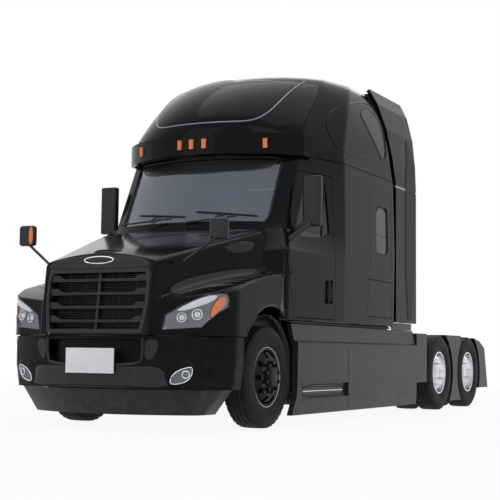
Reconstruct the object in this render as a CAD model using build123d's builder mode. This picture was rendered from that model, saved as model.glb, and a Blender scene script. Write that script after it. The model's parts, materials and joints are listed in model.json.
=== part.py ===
from build123d import *
import os
from math import asin, cos, degrees, radians, sin, sqrt

os.makedirs("parts", exist_ok=True)

# Driving dimensions in millimetres. In the tables x is told from the front axle, forward positive.
overall_length = 8980
bumper_setback = 1420
wheelbase = 5930
tandem_spacing = 1320
front_track = 2080
drive_track = 1840
dual_spacing = 343
front_axle_x = overall_length / 2 - bumper_setback
drive_axle_xs = (-wheelbase + tandem_spacing / 2, -wheelbase - tandem_spacing / 2)

# Running gaps
panel_gap = 8
glass_seat = 4
pin_gap = 2

# Tyres and rims
tyre_radius = 510
tyre_width = 280
rim_seat_radius = 286
rim_lip_radius = 303
rim_width = 232
disc_offset = 166
stud_circle_radius = 143
stud_count = 10

# Frame and running gear
rail_outer_y = 432
rail_height = 266
rail_top = 1005
rail_front_x = 1130
rail_rear_x = -7330
rail_flange = 86
rail_web = 10
kingpin_y = 860
kingpin_radius = 22
steering_arm = 220
tie_pin_radius = 9
tie_eye_radius = 12

# Cab walls
wall = 56
cab_floor = 18
glass_thickness = 6
glass_inset = 14


def side_plane(y):
    return Plane(origin=(front_axle_x, y, 0), x_dir=(1, 0, 0), z_dir=(0, -1, 0))


def plan_plane(z):
    return Plane(origin=(front_axle_x, 0, z), x_dir=(1, 0, 0), z_dir=(0, 0, 1))


def cross_plane(x):
    return Plane(origin=(front_axle_x + x, 0, 0), x_dir=(0, 1, 0), z_dir=(1, 0, 0))


def side_prism(points, y_from, y_to, radius=0):
    """Side outline of (x, z) points pushed from y_from to y_to."""
    with BuildPart(mode=Mode.PRIVATE) as prism:
        with BuildSketch(side_plane(y_to)) as outline:
            with BuildLine():
                Polyline(*points, close=True)
            make_face()
            if radius:
                fillet(outline.vertices(), radius)
        extrude(amount=y_to - y_from)
    return prism.part


def front_prism(points, x_from, x_to, radius=0):
    """Front outline of (y, z) points pushed from x_from to x_to."""
    with BuildPart(mode=Mode.PRIVATE) as prism:
        with BuildSketch(cross_plane(x_from)) as outline:
            with BuildLine():
                Polyline(*points, close=True)
            make_face()
            if radius:
                fillet(outline.vertices(), radius)
        extrude(amount=x_to - x_from)
    return prism.part


def plan_prism(points, z_from, z_to, radius=0):
    """Plan outline of (x, y) points pushed from z_from to z_to."""
    with BuildPart(mode=Mode.PRIVATE) as prism:
        with BuildSketch(plan_plane(z_from)) as outline:
            with BuildLine():
                Polyline(*points, close=True)
            make_face()
            if radius:
                fillet(outline.vertices(), radius)
        extrude(amount=z_to - z_from)
    return prism.part


def block(x_from, x_to, y_from, y_to, z_from, z_to):
    corners = [(x_from, y_from), (x_to, y_from), (x_to, y_to), (x_from, y_to)]
    return plan_prism(corners, z_from, z_to)


def rod(start, end, radius):
    """Round bar between two points, x told from the front axle."""
    first = Vector(*start) + Vector(front_axle_x, 0, 0)
    last = Vector(*end) + Vector(front_axle_x, 0, 0)
    run = last - first
    with BuildPart(mode=Mode.PRIVATE) as bar:
        with BuildSketch(Plane(origin=first, z_dir=run)):
            Circle(radius)
        extrude(amount=run.length)
    return bar.part


def keep(piece, name):
    piece.part.label = name
    export_step(piece.part, f"parts/{name}.step")


# Cab and sleeper walls: plan outlines at a few heights
# z, windscreen centre x, pillar x, pillar y, shoulder x, side y, rear x
cab_levels = (
    (1100, -300, -330, 1190, -1780, 1240, -3450),
    (1820, -300, -330, 1190, -1780, 1250, -3450),
    (2060, -230, -580, 1065, -1780, 1250, -3450),
    (2900, -640, -960, 1035, -1780, 1235, -3430),
)
# The raised roof over them
roof_levels = (
    (2908, -640, -960, 1035, -1780, 1235, -3420),
    (3160, -570, -1010, 1060, -1790, 1230, -3320),
    (3500, -760, -1330, 1030, -1950, 1200, -3190),
    (3800, -1160, -1680, 960, -2200, 1110, -3060),
    (3980, -1600, -2050, 850, -2500, 980, -2990),
    (4050, -2060, -2350, 700, -2700, 800, -2960),
)
pillar_round = 110
shoulder_round = 300
rear_round = 90


def rounded(outline, points, radius):
    """Rounds the outline's corners at the given points."""
    corners = [v for v in outline.vertices() if any(abs(v.X - x) + abs(v.Y - y) < 1 for x, y in points)]
    fillet(corners, radius)


def mirrored(points):
    return [(x, -y) for x, y in points]


def cab_volume(levels, inset, smooth):
    """Solid inside the cab or roof skin, shrunk all round by inset."""
    with BuildPart(mode=Mode.PRIVATE) as volume:
        for z, centre_x, pillar_x, pillar_y, shoulder_x, side_y, rear_x in levels:
            lift = cab_floor if inset and z == cab_levels[0][0] else 0
            wide = side_y - inset
            pillar = [(pillar_x - inset * 0.9, pillar_y - inset)]
            shoulder = [(shoulder_x, wide)]
            rear = [(rear_x + inset, wide)]
            with BuildSketch(plan_plane(z + lift)) as outline:
                with BuildLine():
                    ThreePointArc(mirrored(pillar)[0], (centre_x - inset, 0), pillar[0])
                    Polyline(*pillar, *shoulder, *rear, *mirrored(rear), *mirrored(shoulder), *mirrored(pillar))
                make_face()
                rounded(outline, pillar + mirrored(pillar), pillar_round - inset)
                rounded(outline, shoulder + mirrored(shoulder), shoulder_round)
                rounded(outline, rear + mirrored(rear), rear_round - inset)
        loft(ruled=not smooth)
    return volume.part


cab_outer = cab_volume(cab_levels, 0, False)
cab_inner = cab_volume(cab_levels, wall, False)
glass_outer = cab_volume(cab_levels, glass_inset, False)
glass_inner = cab_volume(cab_levels, glass_inset + glass_thickness, False)

# Door and window outlines, x and z
door_outline = [(-540, 1128), (-372, 1820), (-660, 2080), (-945, 2722), (-1530, 2722), (-1530, 1128)]
door_window = [(-770, 2050), (-1010, 2630), (-1410, 2630), (-1455, 2090), (-1300, 2010), (-860, 1985)]
sleeper_window = [(-2760, 1960), (-2760, 2540), (-3150, 2540), (-3150, 1960)]
luggage_outline = [(-2510, 1200), (-2510, 1630), (-3300, 1630), (-3300, 1200)]
screen_outline = [(-900, 2130), (-900, 2868), (900, 2868), (900, 2130)]
door_depth = (900, 1300)


def grown(points, amount):
    """Outline moved outward by amount, for the gap around a door."""
    centre_x = sum(p[0] for p in points) / len(points)
    centre_z = sum(p[1] for p in points) / len(points)
    wide = max(abs(p[0] - centre_x) for p in points)
    tall = max(abs(p[1] - centre_z) for p in points)
    return [(centre_x + (p[0] - centre_x) * (1 + amount / wide),
             centre_z + (p[1] - centre_z) * (1 + amount / tall)) for p in points]


door_hole = side_prism(grown(door_outline, panel_gap), *door_depth)
door_block = side_prism(door_outline, *door_depth)
window_hole = side_prism(door_window, *door_depth, radius=30)
window_pane = side_prism(grown(door_window, -glass_seat), *door_depth, radius=30)
sleeper_hole = side_prism(sleeper_window, *door_depth, radius=80)
sleeper_pane = side_prism(grown(sleeper_window, -glass_seat), *door_depth, radius=80)
luggage_hole = side_prism(grown(luggage_outline, panel_gap), *door_depth, radius=30)
luggage_block = side_prism(luggage_outline, *door_depth, radius=30)
screen_hole = front_prism(screen_outline, -1100, 0, radius=60)
screen_pane = front_prism(grown(screen_outline, -glass_seat), -1100, 0, radius=60)

with BuildPart() as cab_shell:
    add(cab_outer)
    add(cab_inner, mode=Mode.SUBTRACT)
    add(screen_hole, mode=Mode.SUBTRACT)
    for cut in (door_hole, sleeper_hole, luggage_hole):
        add(cut, mode=Mode.SUBTRACT)
        add(cut.mirror(Plane.XZ), mode=Mode.SUBTRACT)
keep(cab_shell, "cab_shell")

with BuildPart() as windshield:
    add(glass_outer)
    add(glass_inner, mode=Mode.SUBTRACT)
    add(screen_pane, mode=Mode.INTERSECT)
keep(windshield, "windshield")

with BuildPart() as sleeper_windows:
    add(glass_outer)
    add(glass_inner, mode=Mode.SUBTRACT)
    add([sleeper_pane, sleeper_pane.mirror(Plane.XZ)], mode=Mode.INTERSECT)
keep(sleeper_windows, "sleeper_windows")

handle_x = -1385
handle_y = 1266
handle_low = 1296
handle_high = 1554
handle_radius = 11
with BuildPart() as door_left:
    add(cab_outer)
    add(cab_inner, mode=Mode.SUBTRACT)
    add(door_block, mode=Mode.INTERSECT)
    add(window_hole, mode=Mode.SUBTRACT)
    add(rod((handle_x, handle_y, handle_low), (handle_x, handle_y, handle_high), handle_radius))
    for z in (handle_low + 16, handle_high - 16):
        add(rod((handle_x, handle_y - 45, z), (handle_x, handle_y + 4, z), handle_radius + 3))
keep(door_left, "door_left")

with BuildPart() as door_glass_left:
    add(glass_outer)
    add(glass_inner, mode=Mode.SUBTRACT)
    add(window_pane, mode=Mode.INTERSECT)
keep(door_glass_left, "door_glass_left")

with BuildPart() as luggage_door_left:
    add(cab_outer)
    add(cab_inner, mode=Mode.SUBTRACT)
    add(luggage_block, mode=Mode.INTERSECT)
keep(luggage_door_left, "luggage_door_left")

for opened, name in ((door_left, "door"), (door_glass_left, "door_glass"), (luggage_door_left, "luggage_door")):
    with BuildPart() as twin:
        add(opened.part.mirror(Plane.XZ))
    keep(twin, f"{name}_right")

# Raised roof: a hollow cap that stands on the cab walls
roof_wall = 50
roof_outer = cab_volume(roof_levels, 0, True)
roof_inner = cab_volume([(z - roof_wall * index / 5 - 8, *rest) for index, (z, *rest) in enumerate(roof_levels)],
                        roof_wall, False)
with BuildPart() as roof_cap:
    add(roof_outer)
    add(roof_inner, mode=Mode.SUBTRACT)
keep(roof_cap, "roof_cap")

# Sun visor over the windscreen: a curved band, and the five lamps on it
visor_low = 2887
visor_high = 3117
with BuildPart() as sun_visor:
    with BuildSketch(plan_plane(visor_low)):
        with BuildLine():
            ThreePointArc((-960, -1105), (-440, 0), (-960, 1105))
            Polyline((-960, 1105), (-1180, 1152), (-1180, 1124), (-975, 1078))
            ThreePointArc((-975, 1078), (-480, 0), (-975, -1078))
            Polyline((-975, -1078), (-1180, -1124), (-1180, -1152), (-960, -1105))
        make_face()
    extrude(amount=visor_high - visor_low)
    add(roof_outer, mode=Mode.SUBTRACT)
keep(sun_visor, "sun_visor")

marker_y_list = (-778, -150, 0, 150, 778)
marker_size = (26, 48, 104)
marker_z = 3000
visor_front_x = -440
visor_sag = 520
visor_end_y = 1105
visor_curve = (visor_end_y ** 2 + visor_sag ** 2) / (2 * visor_sag)
with BuildPart() as marker_lamps:
    for y in marker_y_list:
        sag = visor_curve - sqrt(visor_curve ** 2 - y ** 2)
        turn = degrees(asin(y / visor_curve))
        with Locations(Location((front_axle_x + visor_front_x - sag + marker_size[0] / 2 - 4, y, marker_z),
                                (0, 0, turn))):
            Box(*marker_size)
    add(sun_visor.part, mode=Mode.SUBTRACT)
keep(marker_lamps, "marker_lamps")

# Hood with fenders: a tapered engine cover let into the fenders, with rounded edges
# x, crown z, shoulder y, shoulder z, foot y
hood_sections = (
    (1430, 1640, 590, 1552, 600),
    (-230, 2066, 1010, 2008, 1085),
)
hood_bottom = 900
hood_wall = 40
hood_shoulder_round = 70
hood_nose_round = 35
hood_valley_round = 80
fender_edge_round = 26
fender_corner_round = 300
fender_plan = [(1315, 560), (1140, 1110), (830, 1250), (-230, 1238)]
fender_crest = [(1450, 1170), (550, 1440), (-260, 1560)]
nose_line = [(1394, 800), (1262, 1800)]


def spread(edge):
    """Reach of an edge: x from the front axle, distance from the middle plane, height."""
    box = edge.bounding_box()
    sides = (abs(box.min.Y), abs(box.max.Y))
    return (box.min.X - front_axle_x, box.max.X - front_axle_x, min(sides), max(sides), box.min.Z, box.max.Z)


def hood_core(inset):
    base = hood_bottom - inset / 20
    with BuildPart(mode=Mode.PRIVATE) as core:
        for x, crown, shoulder, shoulder_z, foot in hood_sections:
            with BuildSketch(cross_plane(x)):
                with BuildLine():
                    top = (shoulder - inset, shoulder_z - inset)
                    low = (foot - inset, base)
                    ThreePointArc((-top[0], top[1]), (0, crown - inset), top)
                    Polyline(top, low, (-low[0], low[1]), (-top[0], top[1]))
                make_face()
        loft(ruled=True)
        nose = [(x - inset, z) for x, z in nose_line]
        add(side_prism([(1600, 800), *nose, (1600, 1800)], -1400, 1400), mode=Mode.SUBTRACT)
        if inset == 0:
            reaches = [(edge, spread(edge)) for edge in core.edges()]
            shoulders = [e for e, r in reaches if r[0] < -200 and r[1] > 1200 and r[4] > 1500]
            fillet(shoulders, hood_shoulder_round)
            reaches = [(edge, spread(edge)) for edge in core.edges()]
            fillet([e for e, r in reaches if r[0] > 1200 and r[5] > 950], hood_nose_round)
    return core.part


def fender_volume(inset):
    base = hood_bottom - inset / 20
    plan = [(x - inset, y - inset * 0.8) for x, y in fender_plan[:3]] + [(-230, 1238 - inset)]
    crest = [(x, z - inset) for x, z in fender_crest]
    with BuildPart(mode=Mode.PRIVATE) as fenders:
        with BuildSketch(plan_plane(base)) as outline:
            with BuildLine():
                Polyline(*plan, *reversed(mirrored(plan)), close=True)
            make_face()
            rounded(outline, plan[1:3] + mirrored(plan[1:3]), fender_corner_round)
        extrude(amount=800)
        with BuildSketch(side_plane(1400)):
            with BuildLine():
                ThreePointArc(*crest)
                Polyline(crest[2], (crest[2][0], 800), (crest[0][0], 800), crest[0])
            make_face()
        extrude(amount=2800, mode=Mode.INTERSECT)
        if inset == 0:
            reaches = [(edge, spread(edge)) for edge in fenders.edges()]
            fillet([e for e, r in reaches if r[4] > 1000 and r[3] > 1000 and r[5] - r[4] > 5], fender_edge_round)
    return fenders.part


def hood_volume(inset):
    with BuildPart(mode=Mode.PRIVATE) as volume:
        add([hood_core(inset), fender_volume(inset)])
        if inset == 0:
            reaches = [(edge, spread(edge)) for edge in volume.edges()]
            valleys = [e for e, r in reaches if r[1] - r[0] > 1200 and 1500 < r[5] < 1600 and r[3] < 1100]
            fillet(valleys, hood_valley_round)
    return volume.part


hood_tail = [(-60, 850), (-60, 1060), (-130, 1300), (-205, 2080), (-400, 2080), (-400, 850)]
arch_centre = (60, 545)
arch_radius = 665
grille_half = [(545, 912), (583, 1200), (583, 1470), (560, 1552), (430, 1588)]
grille_open_half = [(505, 955), (545, 1210), (545, 1440), (520, 1492)]
lamp_outline = [(690, 950), (720, 1090), (900, 1200), (1100, 1290), (1205, 1300), (1215, 1180), (1050, 975)]
lamp_x_range = (800, 1420)



def both_halves(points):
    """Outline made of a right half and its mirror image."""
    return points + [(-y, z) for y, z in reversed(points)]


grille_hole = both_halves(grille_half)
hood_outer = hood_volume(0)
hood_inner = hood_volume(hood_wall)
lamp_block = front_prism(lamp_outline, *lamp_x_range)
lamp_hole = front_prism(grown(lamp_outline, 3), *lamp_x_range)

with BuildPart() as hood:
    add(hood_outer)
    add(side_prism(hood_tail, -1300, 1300), mode=Mode.SUBTRACT)
    add(hood_inner, mode=Mode.SUBTRACT)
    with BuildSketch(side_plane(1300)):
        with Locations(arch_centre):
            Circle(arch_radius)
    extrude(amount=2600, mode=Mode.SUBTRACT)
    add(front_prism(grille_hole, 1100, 1500, radius=20), mode=Mode.SUBTRACT)
    add([lamp_hole, lamp_hole.mirror(Plane.XZ)], mode=Mode.SUBTRACT)
    add(plan_prism([(1215, -95), (1215, 95), (1120, 130), (1120, -130)], 1550, 1850), mode=Mode.SUBTRACT)
keep(hood, "hood")

with BuildPart() as headlamps:
    add(hood_outer)
    add(hood_inner, mode=Mode.SUBTRACT)
    add([lamp_block, lamp_block.mirror(Plane.XZ)], mode=Mode.INTERSECT)
keep(headlamps, "headlamps")

# Grille: bars with stepped ends and a centre divider in a frame that leans back
bar_heights = (1020, 1150, 1280, 1410)
bar_thin = 26
bar_step = 62
bar_step_y = 400
bar_end_y = 552
grille_depth = 90
with BuildPart() as grille:
    add(front_prism(grown(grille_hole, -4), 1150, 1500, radius=18))
    front_line = [(x - 4, z) for x, z in nose_line]
    back_line = [(x - grille_depth, z) for x, z in nose_line]
    add(side_prism([(1600, 800), *front_line, (1600, 1800)], -700, 700), mode=Mode.SUBTRACT)
    add(side_prism([(1100, 800), *back_line, (1100, 1800)], -700, 700), mode=Mode.SUBTRACT)
    add(front_prism(both_halves(grille_open_half), 1100, 1500, radius=16), mode=Mode.SUBTRACT)
    for z in bar_heights:
        bar_front = 1394 - 22 - (z - 800) * 0.132
        half_bar = [(bar_end_y, z), (bar_end_y, z + bar_step), (bar_step_y + 60, z + bar_step),
                    (bar_step_y, z + bar_thin)]
        add(front_prism(both_halves(half_bar), bar_front - 62, bar_front))
    add(side_prism([(1300, 930), (1335, 930), (1262, 1500), (1227, 1500)], -14, 14))
keep(grille, "grille")

# Hood mirrors on arms
hood_mirror_round = 32
with BuildPart() as hood_mirrors:
    for side in (1, -1):
        add(rod((1020, side * 770, 1600), (965, side * 1095, 1830), 14))
        with BuildPart(mode=Mode.PRIVATE) as head:
            with Locations((front_axle_x + 947, side * 1111, 1911)):
                Box(78, 190, 210)
            fillet(head.edges(), hood_mirror_round)
        add(head.part)
    add(hood_outer, mode=Mode.SUBTRACT)
keep(hood_mirrors, "hood_mirrors")

# Bumper: a hollow cover curved in plan, and the narrower air dam under it
# z, centre x, corner x, corner y, side x, side y
bumper_levels = (
    (400, 1376, 1130, 1040, 850, 1215),
    (620, 1403, 1154, 1057, 860, 1245),
    (890, 1411, 1154, 1057, 850, 1250),
)
dam_levels = (
    (160, 1290, 1010, 900, 900, 950),
    (396, 1360, 1110, 1000, 850, 1130),
)
bumper_rear_x = 680
bumper_corner_round = 150


def bumper_volume(levels, inset, rear_x):
    with BuildPart(mode=Mode.PRIVATE) as volume:
        for z, centre_x, corner_x, corner_y, side_x, side_y in levels:
            with BuildSketch(plan_plane(z)) as outline:
                with BuildLine():
                    corner = (corner_x - inset, corner_y - inset / 2)
                    flank = (side_x - inset / 2, side_y - inset)
                    ThreePointArc((corner[0], -corner[1]), (centre_x - inset, 0), corner)
                    Polyline(corner, flank, (rear_x, flank[1]), (rear_x, -flank[1]),
                             (flank[0], -flank[1]), (corner[0], -corner[1]))
                make_face()
                rounded(outline, [corner, flank] + mirrored([corner, flank]), bumper_corner_round)
        loft(ruled=True)
    return volume.part


bumper_wall = 40
plate_z = 660
with BuildPart() as bumper:
    add(bumper_volume(bumper_levels, 0, bumper_rear_x))
    add(bumper_volume(bumper_levels, bumper_wall, bumper_rear_x), mode=Mode.SUBTRACT)
    add(front_prism([(-480, 640), (-520, 700), (-520, 860), (520, 860), (520, 700), (480, 640)], 1000, 1500,
                    radius=20), mode=Mode.SUBTRACT)
    for side in (1, -1):
        with Locations((front_axle_x + 1200, side * 880, 545)):
            Box(300, 200, 150, mode=Mode.SUBTRACT)
keep(bumper, "bumper")

with BuildPart() as air_dam:
    add(bumper_volume(dam_levels, 0, bumper_rear_x))
    add(bumper_volume(dam_levels, bumper_wall, bumper_rear_x), mode=Mode.SUBTRACT)
keep(air_dam, "air_dam")

with BuildPart() as fog_lamps:
    add(bumper_volume(bumper_levels, 0, bumper_rear_x))
    add(bumper_volume(bumper_levels, bumper_wall + 20, bumper_rear_x), mode=Mode.SUBTRACT)
    add([block(1056, 1344, 784, 976, 474, 616), block(1056, 1344, -976, -784, 474, 616)], mode=Mode.INTERSECT)
keep(fog_lamps, "fog_lamps")

with BuildPart() as number_plate:
    with Locations((front_axle_x + bumper_setback - 3, 0, plate_z)):
        Box(6, 540, 235)
keep(number_plate, "number_plate")

# Frame: two channel rails with cross members, the front bracket and the deck behind the cab
cross_member_xs = (1000, -1190, -2300, -3700, -4600, -5930, -7250)
cross_member_low = 890
with BuildPart() as frame:
    for side in (1, -1):
        outer = side * rail_outer_y
        inner = side * (rail_outer_y - rail_flange)
        web = side * (rail_outer_y - rail_web)
        low, high = rail_top - rail_height, rail_top
        add(block(rail_rear_x, rail_front_x, min(outer, inner), max(outer, inner), low, high))
        add(block(rail_rear_x - 1, rail_front_x + 1, min(web, inner), max(web, inner), low + rail_web,
                  high - rail_web), mode=Mode.SUBTRACT)
    for x in cross_member_xs:
        reach = rail_outer_y - rail_web
        add(block(x - 60, x + 60, -reach, reach, cross_member_low, rail_top - 40))
keep(frame, "frame")

with BuildPart() as deck_plate:
    add(block(-4630, -3520, -560, 560, rail_top + 2, rail_top + 26))
keep(deck_plate, "deck_plate")

# Engine with gearbox as one plain block, the radiator in front and the drive shaft behind
with BuildPart() as engine_block:
    add(block(-60, 780, -330, 330, 720, 1560))
    add(block(-1100, -60, -240, 240, 700, 1060))
keep(engine_block, "engine_block")

with BuildPart() as radiator:
    add(block(960, 1060, -560, 560, rail_top + 5, 1560))
keep(radiator, "radiator")

with BuildPart() as drive_shaft:
    add(rod((-1110, 0, 790), (drive_axle_xs[0] + 330, 0, 600), 55))
    add(rod((drive_axle_xs[0] - 330, 0, 560), (drive_axle_xs[1] + 330, 0, 560), 50))
keep(drive_shaft, "drive_shaft")

with BuildPart() as fuel_tanks:
    for side in (1, -1):
        add(rod((-3900, side * 830, 600), (-2300, side * 830, 600), 300))
        near, far = sorted((side * (rail_outer_y + 1), side * 830))
        for x in (-3650, -2550):
            add(block(x - 50, x + 50, near, far, 780, 860))
keep(fuel_tanks, "fuel_tanks")

# Front axle beam with leaf springs
spring_y = 400
axle_eye_radius = 34
with BuildPart() as front_axle:
    add(side_prism([(-50, 350), (50, 350), (50, 440), (-50, 440)], -500, 500))
    for side in (1, -1):
        add(front_prism([(side * 480, 350), (side * 560, 350), (side * 760, 450), (side * (kingpin_y - 10), 450),
                         (side * (kingpin_y - 10), 570), (side * (kingpin_y - 45), 570), (side * 700, 550),
                         (side * 560, 440), (side * 480, 440)], -50, 50))
        add(rod((0, side * kingpin_y, 450), (0, side * kingpin_y, 570), axle_eye_radius))
        with Locations((front_axle_x, side * kingpin_y, tyre_radius)):
            Cylinder(kingpin_radius + pin_gap, 400, mode=Mode.SUBTRACT)
        spring = side_prism([(-760, 680), (-120, 442), (120, 442), (760, 680), (760, 715), (130, 485),
                             (-130, 485), (-760, 715)], spring_y - 40, spring_y + 40)
        add(spring if side > 0 else spring.mirror(Plane.XZ))
keep(front_axle, "front_axle")

# Drive axles: a tube with a round differential case
axle_tube_radius = 70
axle_tube_end = 808
with BuildPart() as drive_axles:
    for x in drive_axle_xs:
        add(rod((x, -axle_tube_end, tyre_radius), (x, axle_tube_end, tyre_radius), axle_tube_radius))
        with Locations((front_axle_x + x, 0, tyre_radius + 20)):
            Sphere(230)
        for side in (1, -1):
            add(block(x - 60, x + 60, min(side * 350, side * 440), max(side * 350, side * 440), 560, 738))
keep(drive_axles, "drive_axles")


def ring(profile, x, y_centre, side):
    """Wheel part turned about its axle from (distance out, radius) points."""
    with BuildPart(mode=Mode.PRIVATE) as turned:
        with BuildSketch(cross_plane(x)):
            with BuildLine():
                Polyline(*[(side * (y_centre + out), tyre_radius + r) for out, r in profile], close=True)
            make_face()
        revolve(axis=Axis((front_axle_x + x, 0, tyre_radius), (0, 1, 0)))
    return turned.part


half_tyre = tyre_width / 2
half_rim = rim_width / 2
tyre_profile = [(-half_rim, rim_seat_radius + 2), (-half_tyre, 375), (-half_tyre + 8, 465), (-half_tyre + 34, 503),
                (0, tyre_radius), (half_tyre - 34, 503), (half_tyre - 8, 465), (half_tyre, 375),
                (half_rim, rim_seat_radius + 2)]
barrel_profile = [(-half_rim, rim_lip_radius - 18), (-half_rim, rim_lip_radius - 34), (half_rim, rim_lip_radius - 34),
                  (half_rim, rim_lip_radius - 18), (half_rim - 12, rim_seat_radius), (-half_rim + 12, rim_seat_radius)]
steer_disc = [(60, 272), (110, 235), (disc_offset - 20, 200), (disc_offset - 20, 90), (disc_offset - 8, 90),
              (disc_offset - 8, 205), (122, 245), (76, 272)]
drive_disc = [(-60, 272), (-110, 235), (-disc_offset + 5, 200), (-disc_offset + 5, 90),
              (-disc_offset - 5, 90), (-disc_offset - 5, 205), (-122, 245), (-76, 272)]


def disc_furniture(x, y_face, side, hole_radius, hole_circle, holes, direction):
    """Nut covers, as solids, and hand holes, as cutters, of one wheel disc."""
    nuts = []
    cutters = []
    for index in range(stud_count):
        angle = radians(index * 360 / stud_count)
        z = tyre_radius + stud_circle_radius * cos(angle)
        dx = stud_circle_radius * sin(angle)
        nuts.append(rod((x + dx, side * (y_face - 4), z), (x + dx, side * (y_face + direction * 38), z), 19))
    for index in range(holes):
        angle = radians((index + 0.5) * 360 / holes)
        z = tyre_radius + hole_circle * cos(angle)
        dx = hole_circle * sin(angle)
        cutters.append(rod((x + dx, side * (y_face - 130), z), (x + dx, side * (y_face + 130), z), hole_radius))
    return nuts, cutters


for side, name in ((1, "left"), (-1, "right")):
    wheel_y = front_track / 2
    with BuildPart() as front_tyre:
        add(ring(tyre_profile, 0, wheel_y, side))
    keep(front_tyre, f"front_tyre_{name}")
    face = wheel_y + disc_offset - 8
    nuts, cutters = disc_furniture(0, face, side, 28, 222, 10, 1)
    with BuildPart() as front_rim:
        add(ring(barrel_profile, 0, wheel_y, side))
        add(ring(steer_disc, 0, wheel_y, side))
        for cutter in cutters:
            add(cutter, mode=Mode.SUBTRACT)
        add(ring([(-125, 40), (-125, 208), (70, 208), (70, 130), (180, 100), (200, 80), (205, 0), (-60, 0),
                  (-60, 40)], 0, wheel_y, side))
        for nut in nuts:
            add(nut)
    keep(front_rim, f"front_rim_{name}")
    for order, x in zip(("front", "rear"), drive_axle_xs):
        middle = drive_track / 2
        outer_y = middle + dual_spacing / 2
        inner_y = middle - dual_spacing / 2
        with BuildPart() as drive_tyres:
            add(ring(tyre_profile, x, outer_y, side))
            add(ring(tyre_profile, x, inner_y, side))
        keep(drive_tyres, f"drive_tyres_{order}_{name}")
        nuts, cutters = disc_furniture(x, middle, side, 32, 222, 5, 1)
        with BuildPart() as drive_rims:
            add(ring(barrel_profile, x, outer_y, side))
            add(ring(barrel_profile, x, inner_y, side))
            add(ring(drive_disc, x, outer_y, side))
            add(ring([(-out, r) for out, r in drive_disc], x, inner_y, side))
            for cutter in cutters:
                add(cutter, mode=Mode.SUBTRACT)
            add(ring([(-260, 90), (-260, 208), (-20, 208), (-20, 120), (90, 95), (110, 60), (112, 0), (-100, 0),
                      (-100, 90)], x, middle, side))
            for nut in nuts:
                add(nut)
        keep(drive_rims, f"drive_rims_{order}_{name}")

# Steering knuckles with kingpin, spindle and arm, and the tie rod
for side, name in ((1, "left"), (-1, "right")):
    with BuildPart() as knuckle:
        add(rod((0, side * kingpin_y, 370), (0, side * kingpin_y, 650), kingpin_radius))
        near, far = sorted((side * (kingpin_y - 35), side * (kingpin_y + 38)))
        add(block(-40, 40, near, far, 372, 432))
        add(block(-40, 40, near, far, 590, 650))
        near, far = sorted((side * (kingpin_y + 50), side * (kingpin_y + 38)))
        add(block(-60, 60, near, far, 372, 650))
        near, far = sorted((side * (kingpin_y + 50), side * (kingpin_y + axle_eye_radius + 8)))
        add(rod((0, near, tyre_radius), (0, side * (front_track / 2 - 70), tyre_radius), 34))
        near, far = sorted((side * (kingpin_y - 20), side * (kingpin_y + 20)))
        add(block(-steering_arm - 30, -30, near, far, 404, 432))
        add(rod((-steering_arm, side * kingpin_y, 380), (-steering_arm, side * kingpin_y, 440), tie_eye_radius),
            mode=Mode.SUBTRACT)
    keep(knuckle, f"knuckle_{name}")

with BuildPart() as tie_rod:
    add(rod((-steering_arm, -kingpin_y, 370), (-steering_arm, kingpin_y, 370), 18))
    for side in (1, -1):
        with Locations((front_axle_x - steering_arm, side * kingpin_y, 370)):
            Sphere(27)
        add(rod((-steering_arm, side * kingpin_y, 370), (-steering_arm, side * kingpin_y, 436), tie_pin_radius))
keep(tie_rod, "tie_rod")

# Side fairings with the ledge and the step pocket
fairing_outline = [(-400, 115), (-530, 330), (-540, 865), (-470, 1054), (-4200, 1054), (-4270, 865), (-4190, 115)]
fairing_section = [(1250, 100), (1250, 865), (1205, 885), (1195, 1070), (1150, 1070), (1160, 885), (1190, 830),
                   (1190, 100)]
with BuildPart() as side_fairings:
    for side in (1, -1):
        add(front_prism([(side * y, z) for y, z in fairing_section], -4300, -350))
    add([side_prism(fairing_outline, -1300, 1300)], mode=Mode.INTERSECT)
    for side in (1, -1):
        add(block(-1900, -640, min(side * 1215, side * 1260), max(side * 1215, side * 1260), 280, 430),
            mode=Mode.SUBTRACT)
        for x in (-900, -2100, -3900):
            near, far = sorted((side * (rail_outer_y + 1), side * 1200))
            add(block(x - 30, x + 30, near, far, 905, 950))
keep(side_fairings, "side_fairings")

# Rear extenders behind the sleeper, lower and upper pairs
lower_extender = [(-3462, 1150), (-3448, 2850), (-4200, 2850), (-4210, 1150)]
upper_extender = [(-3458, 2870), (-3345, 3160), (-3215, 3500), (-3085, 3800), (-3015, 3980), (-3015, 4040),
                  (-4120, 4040), (-4200, 2870)]
upper_bend = [(1245, 2870), (1240, 3200), (1210, 3550), (1140, 3850), (1050, 4036), (1010, 4015), (1100, 3830),
              (1168, 3540), (1196, 3200), (1200, 2870)]
with BuildPart() as extenders:
    add(front_prism(upper_bend, -4200, -3000))
    add(side_prism(upper_extender, 900, 1300), mode=Mode.INTERSECT)
    add(side_prism(lower_extender, 1200, 1245))
    mirror(about=Plane.XZ)
keep(extenders, "extenders")

# Fenders of the drive wheels: front quarter, centre and rear
fender_inner_y = 740
fender_outer_y = 1225
wheel_gap_radius = 560
fender_skin = 16
with BuildPart() as drive_fenders:
    for points in ([(-4290, 390), (-4290, 1030), (-4690, 1030), (-4690, 390)],
                   [(-5400, 115), (-5400, 1030), (-6200, 1030), (-6200, 115)],
                   [(-6700, 270), (-6700, 1030), (-7150, 960), (-7400, 860), (-7560, 270)]):
        skin = side_prism(points, fender_inner_y, fender_outer_y)
        hollow = side_prism(grown(points, -fender_skin), fender_inner_y - 10, fender_outer_y - fender_skin)
        add([skin, skin.mirror(Plane.XZ)])
        add([hollow, hollow.mirror(Plane.XZ)], mode=Mode.SUBTRACT)
    for x in drive_axle_xs:
        with BuildSketch(side_plane(1400)):
            with Locations((x, tyre_radius)):
                Circle(wheel_gap_radius)
        extrude(amount=2800, mode=Mode.SUBTRACT)
keep(drive_fenders, "drive_fenders")

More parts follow.
